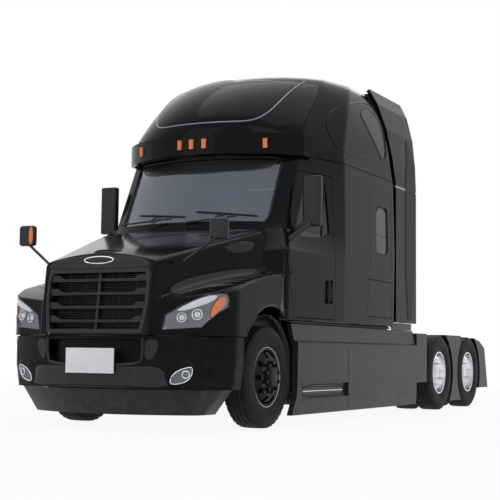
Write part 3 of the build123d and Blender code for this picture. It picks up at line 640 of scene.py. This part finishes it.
lampOutline = [(0.69, 0.95), (0.72, 1.09), (0.9, 1.2), (1.1, 1.29), (1.205, 1.3), (1.215, 1.18),
               (1.05, 0.975)]
lampStrip = [(0.8, 1.125), (0.9, 1.185), (1.05, 1.255), (1.16, 1.287), (1.12, 1.215), (1.02, 1.17),
             (0.9, 1.13)]
lampAmber = [(1.105, 1.05), (1.112, 1.13), (1.135, 1.21), (1.185, 1.288), (1.195, 1.2), (1.145, 1.1)]
projectors = ((0.868, 1.068, 0.05), (1.01, 1.095, 0.056))  # across, up, radius
eye = {"facing": (0.9, 0.25, 0.1), "lens": {"inset": 0.028, "share": 0.8, "depth": 0.45},
       "core": {"inset": 0.03, "share": 0.55, "depth": 0.3},
       "ring": {"inset": 0.022, "share": 0.86, "thick": 0.005}}
lampNodes = ("headlamps", "hood")
lampTree = solidTree(*lampNodes)
for side, sign in sides.items():
    bowl = patch(f"lampBowl_{side}", lampOutline, "front", lampNodes, [(1.0, -0.001), (0.985, -0.03)],
                 darkChrome, "hood", sign, rounds=0)
    if sign > 0:
        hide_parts("headlamps")
    patch(f"lampStrip_{side}", lampStrip, "front", lampNodes, [(1.0, -0.02), (0.96, -0.006)], lampWhite,
          "hood", sign)
    patch(f"lampAmber_{side}", lampAmber, "front", lampNodes, [(1.0, -0.02), (0.94, -0.006)],
          finishes["amber"], "hood", sign)
    facing = Vector((eye["facing"][0], eye["facing"][1] * sign, eye["facing"][2]))
    for index, (y, z, radius) in enumerate(projectors):
        spot, normal = dropPoint(lampTree, y, z, "front", sign)
        for name, part, finish in (("projector", "lens", finishes["lamp"]),
                                   ("projectorCore", "core", lampWhite)):
            dome(f"{name}_{side}_{index}", spot - normal * eye[part]["inset"], radius * eye[part]["share"],
                 facing, finish, "hood", eye[part]["depth"])
        hoop(f"projectorRing_{side}_{index}", spot - normal * eye["ring"]["inset"],
             radius * eye["ring"]["share"], eye["ring"]["thick"], facing, brightTrim, "hood")
    patch(f"lampLens_{side}", lampOutline, "front", lampNodes, [(1.0, -0.002), (0.97, 0.0)], finishes["lamp"],
          "hood", sign, rounds=0)
    bead(f"lampRim_{side}", lampOutline, "front", lampNodes, 0.005, blackTrim, "hood", sign, True, rounds=0)
print("headlamps made")

# Grille: header with a bare badge place, fine slats behind the bars

header = [(-0.565, 1.53), (-0.575, 1.565), (-0.52, 1.606), (-0.38, 1.64), (-0.19, 1.66), (0, 1.666),
          (0.19, 1.66), (0.38, 1.64), (0.52, 1.606), (0.575, 1.565), (0.565, 1.53)]
badge = {"half": 0.165, "high": 0.033, "z": 1.612}
slats = {"low": 0.96, "high": 1.48, "pitch": 0.017, "half": 0.5, "thick": 0.004, "deep": 0.012, "face": 1.3,
         "foot": 0.9, "lean": 0.132, "widen": 0.03}
posts = {"ys": (-0.375, -0.19, 0.19, 0.375), "half": 0.004, "back": 1.205, "front": 1.215, "low": 0.95,
         "high": 1.49}
grilleNodes = ("hood", "grille")
patch("grilleHeader", header, "front", grilleNodes, [(1.0, -0.002), (0.985, 0.006), (0.96, 0.008)], satin,
      "hood", rounds=1, centre=(0, 1.59))
badgeEdge = [(badge["half"] * math.cos(a), badge["z"] + badge["high"] * math.sin(a)) for a in angles(40)]
patch("badgePlace", badgeEdge, "front", grilleNodes, [(1.0, 0.006), (0.97, 0.015), (0.9, 0.016)], blackTrim,
      "hood", rounds=0, centre=(0, badge["z"]))
bead("badgeRing", badgeEdge, "front", grilleNodes, 0.006, brightTrim, "hood", closed=True, sink=-2.0,
     rounds=0)
boxes = []
height = slats["low"]
while height < slats["high"]:
    front = axleX + slats["face"] - (height - slats["foot"]) * slats["lean"]
    reach = slats["half"] + slats["widen"] * (height - slats["foot"])
    boxes.append(((front - slats["deep"], -reach, height), (front, reach, height + slats["thick"])))
    height += slats["pitch"]
boxes += [(at(posts["back"], y - posts["half"], posts["low"]),
           at(posts["front"], y + posts["half"], posts["high"]))
          for y in posts["ys"]]
barsPiece("grilleSlats", boxes, blackTrim, "hood")
print("grille made")

# Bumper: opening mesh, trim, apron, lip, fog lamps

wires = {"across": 0.02, "half": 25, "low": 0.65, "rows": 10, "pitch": 0.024, "wire": 0.0028, "link": 0.0115,
         "deep": 0.004, "front": 1.335, "bow": 0.1, "reach": 0.52, "foot": 0.63, "head": 0.875}
openingTrim = [(-0.535, 0.88), (-0.535, 0.69), (-0.49, 0.622), (0.49, 0.622), (0.535, 0.69), (0.535, 0.88)]
apron = [(-0.84, 0.45), (-0.74, 0.56), (-0.66, 0.615), (-0.5, 0.61), (0.5, 0.61), (0.66, 0.615), (0.74, 0.56),
         (0.84, 0.45), (0.62, 0.412), (-0.62, 0.412)]
lipLine = [(1.055, 0.86), (1.012, 0.6), (0.965, 0.455), (0.887, 0.418), (0.6, 0.405), (0.5, 0.425), (0, 0.43)]
insert = [(0.555, 0.86), (0.56, 0.7), (0.6, 0.66), (0.665, 0.74), (0.69, 0.86)]
fogLeaf = [(0.772, 0.455), (0.8, 0.533), (0.865, 0.585), (0.984, 0.622), (0.978, 0.551), (0.94, 0.488),
           (0.859, 0.455)]
fogBezel = [(0.74, 0.43), (0.735, 0.655), (0.88, 0.66), (1.02, 0.655), (1.02, 0.53), (0.965, 0.45),
            (0.86, 0.425)]
fog = {"y": 0.922, "z": 0.543, "light": 0.03, "proud": 0.006, "hoop": 0.034, "hoopProud": 0.009,
       "thick": 0.005}
fogNodes = ("bumper", "fog_lamps")
fogTree = solidTree(*fogNodes)


def meshBar(n, half, low, high):  # one wire of the bowed mesh
    y = n * wires["across"]
    x = axleX + (wires["front"] - wires["bow"] * (y / wires["reach"]) ** 2)
    return (x - wires["deep"], y - half, low), (x + wires["deep"], y + half, high)


acrossMesh = range(-wires["half"], wires["half"] + 1)
heights = [wires["low"] + n * wires["pitch"] for n in range(wires["rows"])]
boxes = [meshBar(n, wires["link"], z - wires["wire"], z + wires["wire"]) for z in heights for n in acrossMesh]
boxes += [meshBar(n, wires["wire"], wires["foot"], wires["head"]) for n in acrossMesh]
barsPiece("bumperMesh", boxes, blackTrim, "chassis")
bead("openingTrim", openingTrim, "front", ("bumper",), 0.014, satin, "chassis")
patch("bumperApron", apron, "front", ("bumper",), [(1.0, -0.001), (0.995, 0.003)], satin, "chassis", rounds=1,
      centre=(0, 0.51))
bead("bumperLip", lipLine + [(-y, z) for y, z in reversed(lipLine[:-1])], "front", ("bumper",), 0.007, gloss,
     "chassis")
for side, sign in sides.items():
    patch(f"bumperInsert_{side}", insert, "front", ("bumper",), [(1.0, 0.0), (0.95, 0.003)], satin, "chassis",
          sign)
    bead(f"insertRim_{side}", insert, "front", ("bumper",), 0.005, blackTrim, "chassis", sign, True)
    patch(f"fogBezel_{side}", fogBezel, "front", fogNodes, [(1.0, -0.002), (0.985, 0.004)], gloss, "chassis",
          sign)
    patch(f"fogLeaf_{side}", fogLeaf, "front", fogNodes, [(1.0, 0.003), (0.97, 0.006)], darkChrome, "chassis",
          sign)
    bead(f"fogRim_{side}", fogLeaf, "front", fogNodes, 0.005, brightTrim, "chassis", sign, True, sink=-1.2)
    spot, normal = dropPoint(fogTree, fog["y"], fog["z"], "front", sign)
    dome(f"fogLight_{side}", spot + normal * fog["proud"], fog["light"], normal, finishes["lamp"], "chassis",
         0.35)
    hoop(f"fogHoop_{side}", spot + normal * fog["hoopProud"], fog["hoop"], fog["thick"], normal, brightTrim,
         "chassis")
print("bumper made")

# Cab glass: black band, seals, wipers

band = [(-0.875, 2.862), (-0.83, 2.77), (-0.7, 2.715), (-0.3, 2.7), (0.3, 2.7), (0.7, 2.715), (0.83, 2.77),
        (0.875, 2.862)]
screenEdge = [(-0.9, 2.13), (-0.9, 2.868), (0.9, 2.868), (0.9, 2.13)]
wipers = {"wiperLeft": ((0.8, 2.19), (0.12, 2.245)), "wiperRight": ((0.02, 2.19), (-0.66, 2.245))}
wiperFoot = {"shift": 0.2, "z": 2.145}
cabNodes = ("cab_shell", "windshield")
patch("sunBand", band, "front", ("windshield",), [(1.0, 0.0008), (0.99, 0.0015)], blackTrim, "chassis",
      rounds=1, centre=(0, 2.79))
bead("screenSeal", spaced(screenEdge, 0.2, True), "front", cabNodes, 0.012, rubberSeal, "chassis",
     closed=True)
for name, (start, end) in wipers.items():
    bead(name, [start, end], "front", ("windshield",), 0.008, rubberSeal, "chassis", sink=-1.1, rounds=0)
    middle = tuple((p + q) / 2 for p, q in zip(start, end))
    bead(name + "Arm", [(end[0] + wiperFoot["shift"], wiperFoot["z"]), middle], "front", cabNodes, 0.009,
         blackTrim, "chassis", sink=-2.2, rounds=0)
print("glass trim made")

# Cooler cores seen through the grille and the bumper opening

cores = {
    "upper": {"front": 1.092, "half": 0.66, "low": 1.015, "high": 1.565},
    "lower": {"front": 1.16, "half": 0.66, "low": 0.47, "high": 1.035},
}
fins = {"pitch": 0.014, "thick": 0.004, "deep": 0.012, "back": 0.006}
for name, core in cores.items():
    face = axleX + core["front"]
    behind = face - fins["deep"]
    boxes = [((behind - fins["back"], -core["half"], core["low"]), (behind, core["half"], core["high"]))]
    for n in range(int(2 * core["half"] / fins["pitch"])):
        y = -core["half"] + n * fins["pitch"]
        boxes.append(((behind, y, core["low"]), (face, y + fins["thick"], core["high"])))
    barsPiece(f"coolerCore_{name}", boxes, blackTrim, "chassis")
print("cores made")

# Cowl sides between hood and cab, sill seals, wheel liners and closing panels

arch = {"x": 0.06, "z": 0.545, "radius": 0.678, "low": 34, "high": 146, "steps": 36}
cowl = {"low": 1.105, "high": 1.81, "rows": 30, "across": 6, "gap": 0.012, "door": -0.362, "behind": 0.02,
        "flange": 0.08, "arch": 0.7, "starts": (0.06, -0.08, -0.14, -0.18), "stop": -0.36, "narrow": 0.004,
        "tuck": 0.002, "thick": 0.003}
sill = {"front": -0.44, "back": -3.44, "y": 1.168, "z": 1.0765, "radius": 0.022, "spans": 24, "around": 12}
liner = {"radius": 0.62, "near": 0.62, "far": 1.14, "low": 58, "high": 196, "steps": 30, "across": 5,
         "rib": 0.006, "ribEvery": 3, "thick": 0.004}
closers = {
    "splashPanel": {"front": -0.328, "back": -0.336, "near": 0.45, "far": 1.14, "low": 1.04, "high": 1.098},
    "stepWall": {"front": -0.637, "back": -0.645, "near": 0.45, "far": 1.14, "low": 0.33, "high": 1.098},
    "extenderSkirt": {"front": -3.46, "back": -4.18, "near": 1.175, "far": 1.188, "low": 1.057,
                      "high": 1.147},
}
probe = {"step": 0.006, "least": 0.5}  # least: nearer the middle than this, a hit is on something else
cabTree = solidTree("cab_shell", "door_left", "door_right")  # the cab side with its doors
hoodTree = solidTree("hood")


def lastHit(tree, z, sign, start, stop):  # how far the surface reaches from start towards stop
    step = probe["step"] if stop > start else -probe["step"]
    found = None
    x = start
    while (stop - x) * step > 0:
        spot, _ = dropPoint(tree, x, z, "side", sign)
        if spot is None or abs(spot.y) < probe["least"]:
            break
        found = (x, abs(spot.y))
        x += step
    return found


def cowlRow(z, sign):  # one row of points from the door's edge to the hood's
    doorSpot, _ = dropPoint(cabTree, cowl["door"] - cowl["behind"], z, "side", sign)
    if doorSpot is None:
        return []
    doorY = abs(doorSpot.y)
    fore = None
    for start in cowl["starts"]:
        fore = fore or lastHit(hoodTree, z, sign, start, cowl["stop"])
    if fore is None:
        fore = (arch["x"] - math.sqrt(cowl["arch"] ** 2 - (z - arch["z"]) ** 2), doorY)
    startX, endX = cowl["door"], fore[0] - cowl["gap"]
    if endX < startX + cowl["narrow"]:
        return []
    row = []
    for n in range(cowl["across"] + 1):
        share = n / cowl["across"]
        y = doorY + (fore[1] - doorY) * share - cowl["tuck"]
        row.append(at(startX + (endX - startX) * share, y * sign, z))
    return row + [at(endX, (fore[1] - cowl["flange"]) * sign, z)]


for side, sign in sides.items():
    spots = []
    for row in range(cowl["rows"] + 1):
        spots += cowlRow(cowl["low"] + (cowl["high"] - cowl["low"]) * row / cowl["rows"], sign)
    count = cowl["across"] + 2
    panel = meshPiece(f"cowlSide_{side}", spots, gridFaces(len(spots) // count, count), gloss, "chassis")
    thicken(panel, cowl["thick"])
    sillSpots = [at(sill["front"] + (sill["back"] - sill["front"]) * n / sill["spans"], sill["y"] * sign,
                    sill["z"])
                 for n in range(sill["spans"] + 1)]
    meshPiece(f"sillSeal_{side}", *tubeAlong(sillSpots, sill["radius"], False, sill["around"]), rubberSeal,
              "chassis")
for side, sign in sides.items():
    spots = []
    for step in range(liner["steps"] + 1):
        turn = math.radians(liner["low"] + (liner["high"] - liner["low"]) * step / liner["steps"])
        reach = liner["radius"] + (liner["rib"] if step % liner["ribEvery"] == 0 else 0)
        for n in range(liner["across"] + 1):
            y = liner["near"] + (liner["far"] - liner["near"]) * n / liner["across"]
            spots.append(at(reach * math.cos(turn), y * sign, wheel["z"] + reach * math.sin(turn)))
    faces = gridFaces(liner["steps"] + 1, liner["across"] + 1)
    thicken(meshPiece(f"wheelLiner_{side}", spots, faces, blackTrim, "chassis"), liner["thick"])
    for name, part in closers.items():
        ys = sorted((part["near"] * sign, part["far"] * sign))
        box = (at(part["back"], ys[0], part["low"]), at(part["front"], ys[1], part["high"]))
        barsPiece(f"{name}_{side}", [box], blackTrim, "chassis", 0.003)
print("cowl and sills made")

# Bulb seal between bumper and hood, and closing strips between roof and extenders

bulb = {"z": 0.872, "seal": 0.8935, "radius": 0.006, "inset": 0.03, "pitch": 0.04, "foremost": 0.6,
        "sideY": 1.15, "jump": 0.35}
bulbRuns = (  # look, side, first place, count and way along
    ("side", -1, 0.72, 13, 1),
    ("front", 1, -1.18, 60, 1),
    ("side", 1, 1.2, 13, -1),
)
strip = {"low": 1.2, "high": 3.98, "rows": 60, "start": -3.7, "stop": -2.9, "depth": 0.25, "tuck": 0.006,
         "gap": 0.012, "outerBack": 0.01, "innerBack": 0.016, "jump": 0.2, "thick": 0.003}
bumperTree = solidTree("bumper")
extenderTree = solidTree("extenders")
bodyTree = solidTree("cab_shell", "roof_cap")
sealSpots = []
for look, sign, first, count, way in bulbRuns:
    for n in range(count):
        spot, normal = dropPoint(bumperTree, first + n * bulb["pitch"] * way, bulb["z"], look, sign)
        if spot is None or spot.x <= axleX + bulb["foremost"]:
            continue
        if look == "front" or abs(spot.y) > bulb["sideY"]:
            place = spot - normal * bulb["inset"]
            sealSpots.append(Vector((place.x, place.y, bulb["seal"])))
sealSpots = [spot for n, spot in enumerate(sealSpots)
             if n == 0 or (spot - sealSpots[n - 1]).length < bulb["jump"]]
meshPiece("bumperSeal", *tubeAlong(sealSpots, bulb["radius"], False), rubberSeal, "chassis")
for side, sign in sides.items():
    spots = []
    for row in range(strip["rows"] + 1):
        z = strip["low"] + (strip["high"] - strip["low"]) * row / strip["rows"]
        front = lastHit(extenderTree, z, sign, strip["start"], strip["stop"])
        if front is None:
            continue
        spot, _ = dropPoint(bodyTree, front[0] - strip["gap"], z, "side", sign)
        inner = front[1] - strip["depth"] if spot is None else abs(spot.y) - strip["tuck"]
        outer = front[1] - strip["gap"]
        if inner < outer:
            spots += [at(front[0] - strip["outerBack"], outer * sign, z),
                      at(front[0] - strip["innerBack"], inner * sign, z)]
    faces = [(2 * row, 2 * row + 1, 2 * row + 3, 2 * row + 2) for row in range(len(spots) // 2 - 1)
             if (spots[2 * row + 2] - spots[2 * row]).length < strip["jump"]]
    thicken(meshPiece(f"extenderStrip_{side}", spots, faces, gloss, "chassis"), strip["thick"])
print("seals made")

# Roof: framed centre panel, side arch and leaf window

halfRim = [(0.81, 3.86), (0.789, 3.71), (0.763, 3.53), (0.723, 3.39), (0.64, 3.292), (0.53, 3.262),
           (0.36, 3.258)]
roofRim = halfRim + [(-y, z) for y, z in reversed(halfRim)]
roofArch = [(-1.667, 3.028), (-1.509, 3.198), (-1.479, 3.307), (-1.544, 3.408), (-1.723, 3.541),
            (-2.239, 3.709),
            (-2.778, 3.814), (-3.011, 3.783), (-3.095, 3.633), (-3.124, 3.387), (-3.126, 3.213),
            (-3.016, 3.102)]
leafWindow = [(-2.363, 3.611), (-2.472, 3.51), (-2.649, 3.358), (-2.825, 3.24), (-2.981, 3.097),
              (-3.075, 3.18), (-3.074, 3.403), (-3.003, 3.591), (-2.877, 3.707), (-2.666, 3.729)]
roofNodes = ("roof_cap", "extenders")
patch("roofPanel", roofRim, "front", ("roof_cap",), [(1.0, -0.002), (0.985, 0.009), (0.965, 0.011)], gloss,
      "chassis", rounds=1, centre=(0, 3.56), step=0.04)
# the rim bead's light grey is a painted highlight on the black roof
bead("roofPanelRim", roofRim, "front", ("roof_cap",), 0.008, paintedRimHighlight, "chassis", sink=-0.6)
for side, sign in sides.items():
    bead(f"roofArch_{side}", roofArch, "side", roofNodes, 0.01, gloss, "chassis", sign, True, sink=0.1)
    patch(f"leafWindow_{side}", leafWindow, "side", roofNodes, [(1.0, -0.001), (0.98, 0.004)], blackTrim,
          "chassis", sign)
    bead(f"leafSeal_{side}", leafWindow, "side", roofNodes, 0.009, rubberSeal, "chassis", sign, True)
print("roof made")

# Hood: fender crease, side blade, cowl vent, arch lip, scoop

crease = [(1.342, 1.131), (1.263, 1.261), (1.093, 1.397), (0.836, 1.492), (0.465, 1.573), (0.046, 1.629)]
blade = [(1.113, 1.338), (1.052, 1.382), (0.939, 1.428), (0.667, 1.498), (0.37, 1.553), (0.083, 1.588),
         (-0.09, 1.6), (-0.09, 1.535), (0.282, 1.48), (0.623, 1.394), (0.909, 1.303), (1.062, 1.271),
         (1.12, 1.305)]
cowlVent = [(0.396, 1.809), (0.295, 1.725), (-0.015, 1.77), (-0.064, 1.898)]
ventSlat = {"count": 4, "low": 1.765, "pitch": 0.026, "back": 0.02, "front": 0.3, "longer": 0.012,
            "rise": 0.012, "drop": 0.018}
scoop = [(1.226, -0.106), (1.226, 0.106), (1.108, 0.142), (1.108, -0.142)]
mirrorAmber = [(1.028, 1.82), (1.028, 2.0), (1.07, 2.0), (1.07, 1.82)]
archTurns = [arch["low"] + (arch["high"] - arch["low"]) * n / arch["steps"] for n in range(arch["steps"] + 1)]
archLine = [(arch["x"] + arch["radius"] * math.cos(math.radians(turn)),
             arch["z"] + arch["radius"] * math.sin(math.radians(turn))) for turn in archTurns]
for side, sign in sides.items():
    bead(f"fenderCrease_{side}", crease, "side", ("hood",), 0.008, gloss, "hood", sign, sink=0.4)
    patch(f"hoodBlade_{side}", blade, "side", ("hood",), [(1.0, -0.002), (0.97, 0.006)], satin, "hood", sign,
          rounds=1, centre=(0.52, 1.47))
    patch(f"cowlVent_{side}", cowlVent, "side", ("hood",), [(1.0, -0.001), (0.95, 0.004)], blackTrim, "hood",
          sign, rounds=1)
    for n in range(ventSlat["count"]):
        z = ventSlat["low"] + n * ventSlat["pitch"]
        ends = [(ventSlat["back"], z + ventSlat["rise"]),
                (ventSlat["front"] + n * ventSlat["longer"], z - ventSlat["drop"])]
        bead(f"cowlVentSlat_{side}_{n}", ends, "side", ("hood",), 0.006, satin, "hood", sign, sink=-1.0,
             rounds=0)
    bead(f"archLip_{side}", archLine, "side", ("hood",), 0.011, satin, "hood", sign, sink=0.2, rounds=0)
bead("scoopLip", spaced(scoop, 0.05, True), "top", ("hood",), 0.007, satin, "hood", closed=True, sink=-0.2)
patch("mirrorAmber_right", mirrorAmber, "front", ("hood_mirrors",), [(1.0, -0.001), (0.97, 0.003)],
      finishes["amber"], "hood", -1, rounds=1)
print("hood trim made")

# Doors and sleeper side: seals, spear, handle recess, panel groove, window bar, extender rubber

spear = [(-0.42, 1.6), (-0.6, 1.625), (-1.0, 1.632), (-1.262, 1.622), (-1.0, 1.603), (-0.7, 1.583),
         (-0.42, 1.556)]
recess = {"x": -1.385, "z": 1.425, "wide": 0.042, "high": 0.145}
recessEdge = [(recess["x"] + recess["wide"] * math.cos(a), recess["z"] + recess["high"] * math.sin(a))
              for a in angles(28)]
groove = spaced([(-2.56, 1.75), (-2.56, 2.71), (-3.27, 2.71), (-3.27, 1.75)], 0.12, True)
windowBar = [(-3.13, 2.19), (-2.78, 2.19)]
extenderRubber = [(-3.78, 1.2), (-3.78, 3.55), (-4.17, 3.45), (-4.17, 1.2)]
sleeperNodes = ("cab_shell", "sleeper_windows")
for side, sign in sides.items():
    door = f"door_{side}"
    doorGlass = f"door_glass_{side}"
    bead(f"doorSeal_{side}", nodeOutline(doorGlass), "side", (door, doorGlass), 0.012, rubberSeal, door, sign,
         True, rounds=1)
    patch(f"doorSpear_{side}", spear, "side", (door,), [(1.0, -0.001), (0.9, 0.006)], gloss, door, sign,
          rounds=1, centre=(-0.8, 1.603))
    patch(f"handleRecess_{side}", recessEdge, "side", (door,), [(1.0, 0.0), (0.93, 0.003)], blackTrim, door,
          sign, rounds=0)
    bead(f"sleeperGroove_{side}", groove, "side", sleeperNodes, 0.005, rubberSeal, "chassis", sign, True,
         sink=0.5)
    bead(f"sleeperSeal_{side}", nodeOutline("sleeper_windows"), "side", sleeperNodes, 0.012, rubberSeal,
         "chassis", sign, True, rounds=1)
    bead(f"sleeperBar_{side}", windowBar, "side", sleeperNodes, 0.009, blackTrim, "chassis", sign, rounds=0)
    patch(f"extenderRubber_{side}", extenderRubber, "side", ("extenders",), [(1.0, -0.001), (0.99, 0.004)],
          rubberSeal, "chassis", sign, rounds=1, step=0.05)
print("doors and sleeper made")

# Side fairings: ribs, seam, step pocket with treads

ribs = {"front": -0.62, "back": -4.15, "zs": {"upper": 0.46, "lower": 0.255}}
seam = [(-1.905, 0.14), (-1.905, 0.85)]
pocket = [(-0.66, 0.29), (-0.66, 0.42), (-1.88, 0.42), (-1.88, 0.29)]
treads = {"count": 3, "bright": 1, "front": -0.72, "back": -1.82, "low": 0.315, "pitch": 0.038}
fairing = ("side_fairings",)
for side, sign in sides.items():
    for name, z in ribs["zs"].items():
        bead(f"fairingRib_{name}_{side}", [(ribs["front"], z), (ribs["back"], z)], "side", fairing, 0.009,
             satin, "chassis", sign, rounds=0, sink=0.2)
    bead(f"fairingSeam_{side}", seam, "side", fairing, 0.005, rubberSeal, "chassis", sign, rounds=0, sink=0.5)
    patch(f"stepPocket_{side}", pocket, "side", fairing, [(1.0, -0.001), (0.99, 0.003)], blackTrim, "chassis",
          sign, rounds=1)
    for n in range(treads["count"]):
        z = treads["low"] + n * treads["pitch"]
        bead(f"stepTread_{side}_{n}", [(treads["front"], z), (treads["back"], z)], "side", fairing, 0.007,
             brightTrim if n == treads["bright"] else satin, "chassis", sign, rounds=0, sink=-0.6)
print("fairings made")

# Mirror glass

mirrorSilver = metalFinish("mirrorSilver", (0.8, 0.83, 0.86), 0.03)
doorMirrorGlass = {
    "Upper": [(1.205, 2.285), (1.205, 2.605), (1.365, 2.605), (1.365, 2.285)],
    "Lower": [(1.205, 2.125), (1.205, 2.255), (1.365, 2.255), (1.365, 2.125)],
}
hoodMirrorGlass = [(1.035, 1.83), (1.035, 1.99), (1.187, 1.99), (1.187, 1.83)]
for side, sign in sides.items():
    for name, outline in doorMirrorGlass.items():
        patch(f"doorMirrorGlass{name}_{side}", outline, "back", (f"door_mirror_{side}",),
              [(1.0, -0.001), (0.97, 0.003)], mirrorSilver, f"door_{side}", sign)
    patch(f"hoodMirrorGlass_{side}", hoodMirrorGlass, "back", ("hood_mirrors",),
          [(1.0, -0.001), (0.97, 0.003)], mirrorSilver, "hood", sign)
print("mirrors made")

# Seats and bunk: crowned pads with sewn channels and piping

pads = {"cells": 20, "corner": 0.035, "pinch": 0.012, "flat": 0.9, "seamWidth": 0.012, "seamDepth": 0.01}
piping = {"radius": 0.005, "inset": 0.97, "square": 0.98, "drop": 0.012, "points": 64, "around": 6}
seat = {"y": 0.54, "half": 0.24, "lean": -78}
seatPads = (  # name, x, z, half sizes, crown, channels, leans back
    ("seatCushion", -1.49, 1.555, (0.235, seat["half"], 0.058), 0.016, (-0.45, 0.45), False),
    ("seatBack", -1.835, 1.99, (0.33, seat["half"], 0.05), 0.014, (-0.45, 0.45), True),
    ("headRest", -1.93, 2.395, (0.07, 0.14, 0.035), 0.01, (), True),
)
pedestals = (  # back, front, half width, low, high
    (-1.74, -1.34, 0.18, 1.125, 1.4),
    (-1.7, -1.3, 0.21, 1.4, 1.485),
)
bunk = {"middle": (-2.97, 0, 1.735), "half": (0.4, 1.14, 0.078), "channels": (-0.66, -0.33, 0, 0.33, 0.66),
        "baseLow": (-3.37, -1.184, 1.562), "baseHigh": (-2.5, 1.184, 1.65)}


def pad(name, middle, half, crown, channels, lean=0.0):
    work = bmesh.new()
    bmesh.ops.create_cube(work, size=2)
    bmesh.ops.subdivide_edges(work, edges=work.edges[:], cuts=pads["cells"], use_grid_fill=True)
    turn = Matrix.Rotation(lean, 3, "Y")
    inner = Vector([h - pads["corner"] for h in half])
    for spot in work.verts:
        u, v, w = spot.co
        raw = Vector((u * half[0], v * half[1], w * half[2]))
        core = Vector([max(-inner[k], min(inner[k], raw[k])) for k in range(3)])
        rest = raw - core
        if rest.length > 0:
            raw = core + rest.normalized() * pads["corner"]
        if w > -pads["flat"]:  # the underside stays flat
            rise = (1 - u * u) * (1 - v * v)
            seams = sum(math.exp(-((v - line) * half[1] / pads["seamWidth"]) ** 2) for line in channels)
            sewn = seams * pads["seamDepth"] if abs(w) > pads["flat"] else 0
            raw.z += math.copysign(1, w) * (crown * rise * abs(w) - sewn)
        raw.x -= math.copysign(pads["pinch"], u) * abs(u) * (1 - w * w) * (1 - v * v)
        raw.y -= math.copysign(pads["pinch"], v) * abs(v) * (1 - w * w) * (1 - u * u)
        spot.co = Vector(middle) + turn @ raw
    mesh = bpy.data.meshes.new(name)
    work.to_mesh(mesh)
    work.free()
    item = finishPiece(name, mesh, finishes["upholstery"], "chassis")
    item.modifiers.new("smooth", "SUBSURF").levels = 1
    edge = []
    for a in angles(piping["points"]):
        across, along = math.cos(a), math.sin(a)
        out = min(1, 1 / max(abs(across), abs(along)) * piping["square"])
        edge.append(Vector(middle) + turn @ Vector((half[0] * piping["inset"] * across * out,
                                                    half[1] * piping["inset"] * along * out,
                                                    half[2] - piping["drop"])))
    meshPiece(name + "Piping", *tubeAlong(edge, piping["radius"], True, piping["around"]), blackTrim,
              "chassis")
    return item


for side, sign in sides.items():
    y = seat["y"] * sign
    base, *_ = [pad(f"{name}_{side}", at(x, y, z), half, crown, channels,
                    math.radians(seat["lean"]) if leans else 0.0)
                for name, x, z, half, crown, channels, leans in seatPads]
    if sign > 0:
        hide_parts("seats")
    boxes = [(at(back, y - half, low), at(front, y + half, high)) for back, front, half, low,
             high in pedestals]
    barsPiece(f"seatPedestal_{side}", boxes, finishes["cabin"], "chassis", 0.012)
bunkPad = pad("bunkMattress", at(*bunk["middle"]), bunk["half"], 0.012, bunk["channels"])
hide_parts("bunk")
barsPiece("bunkBase", [(at(*bunk["baseLow"]), at(*bunk["baseHigh"]))], finishes["cabin"], "chassis", 0.01)
print("soft goods made")

print("finished")
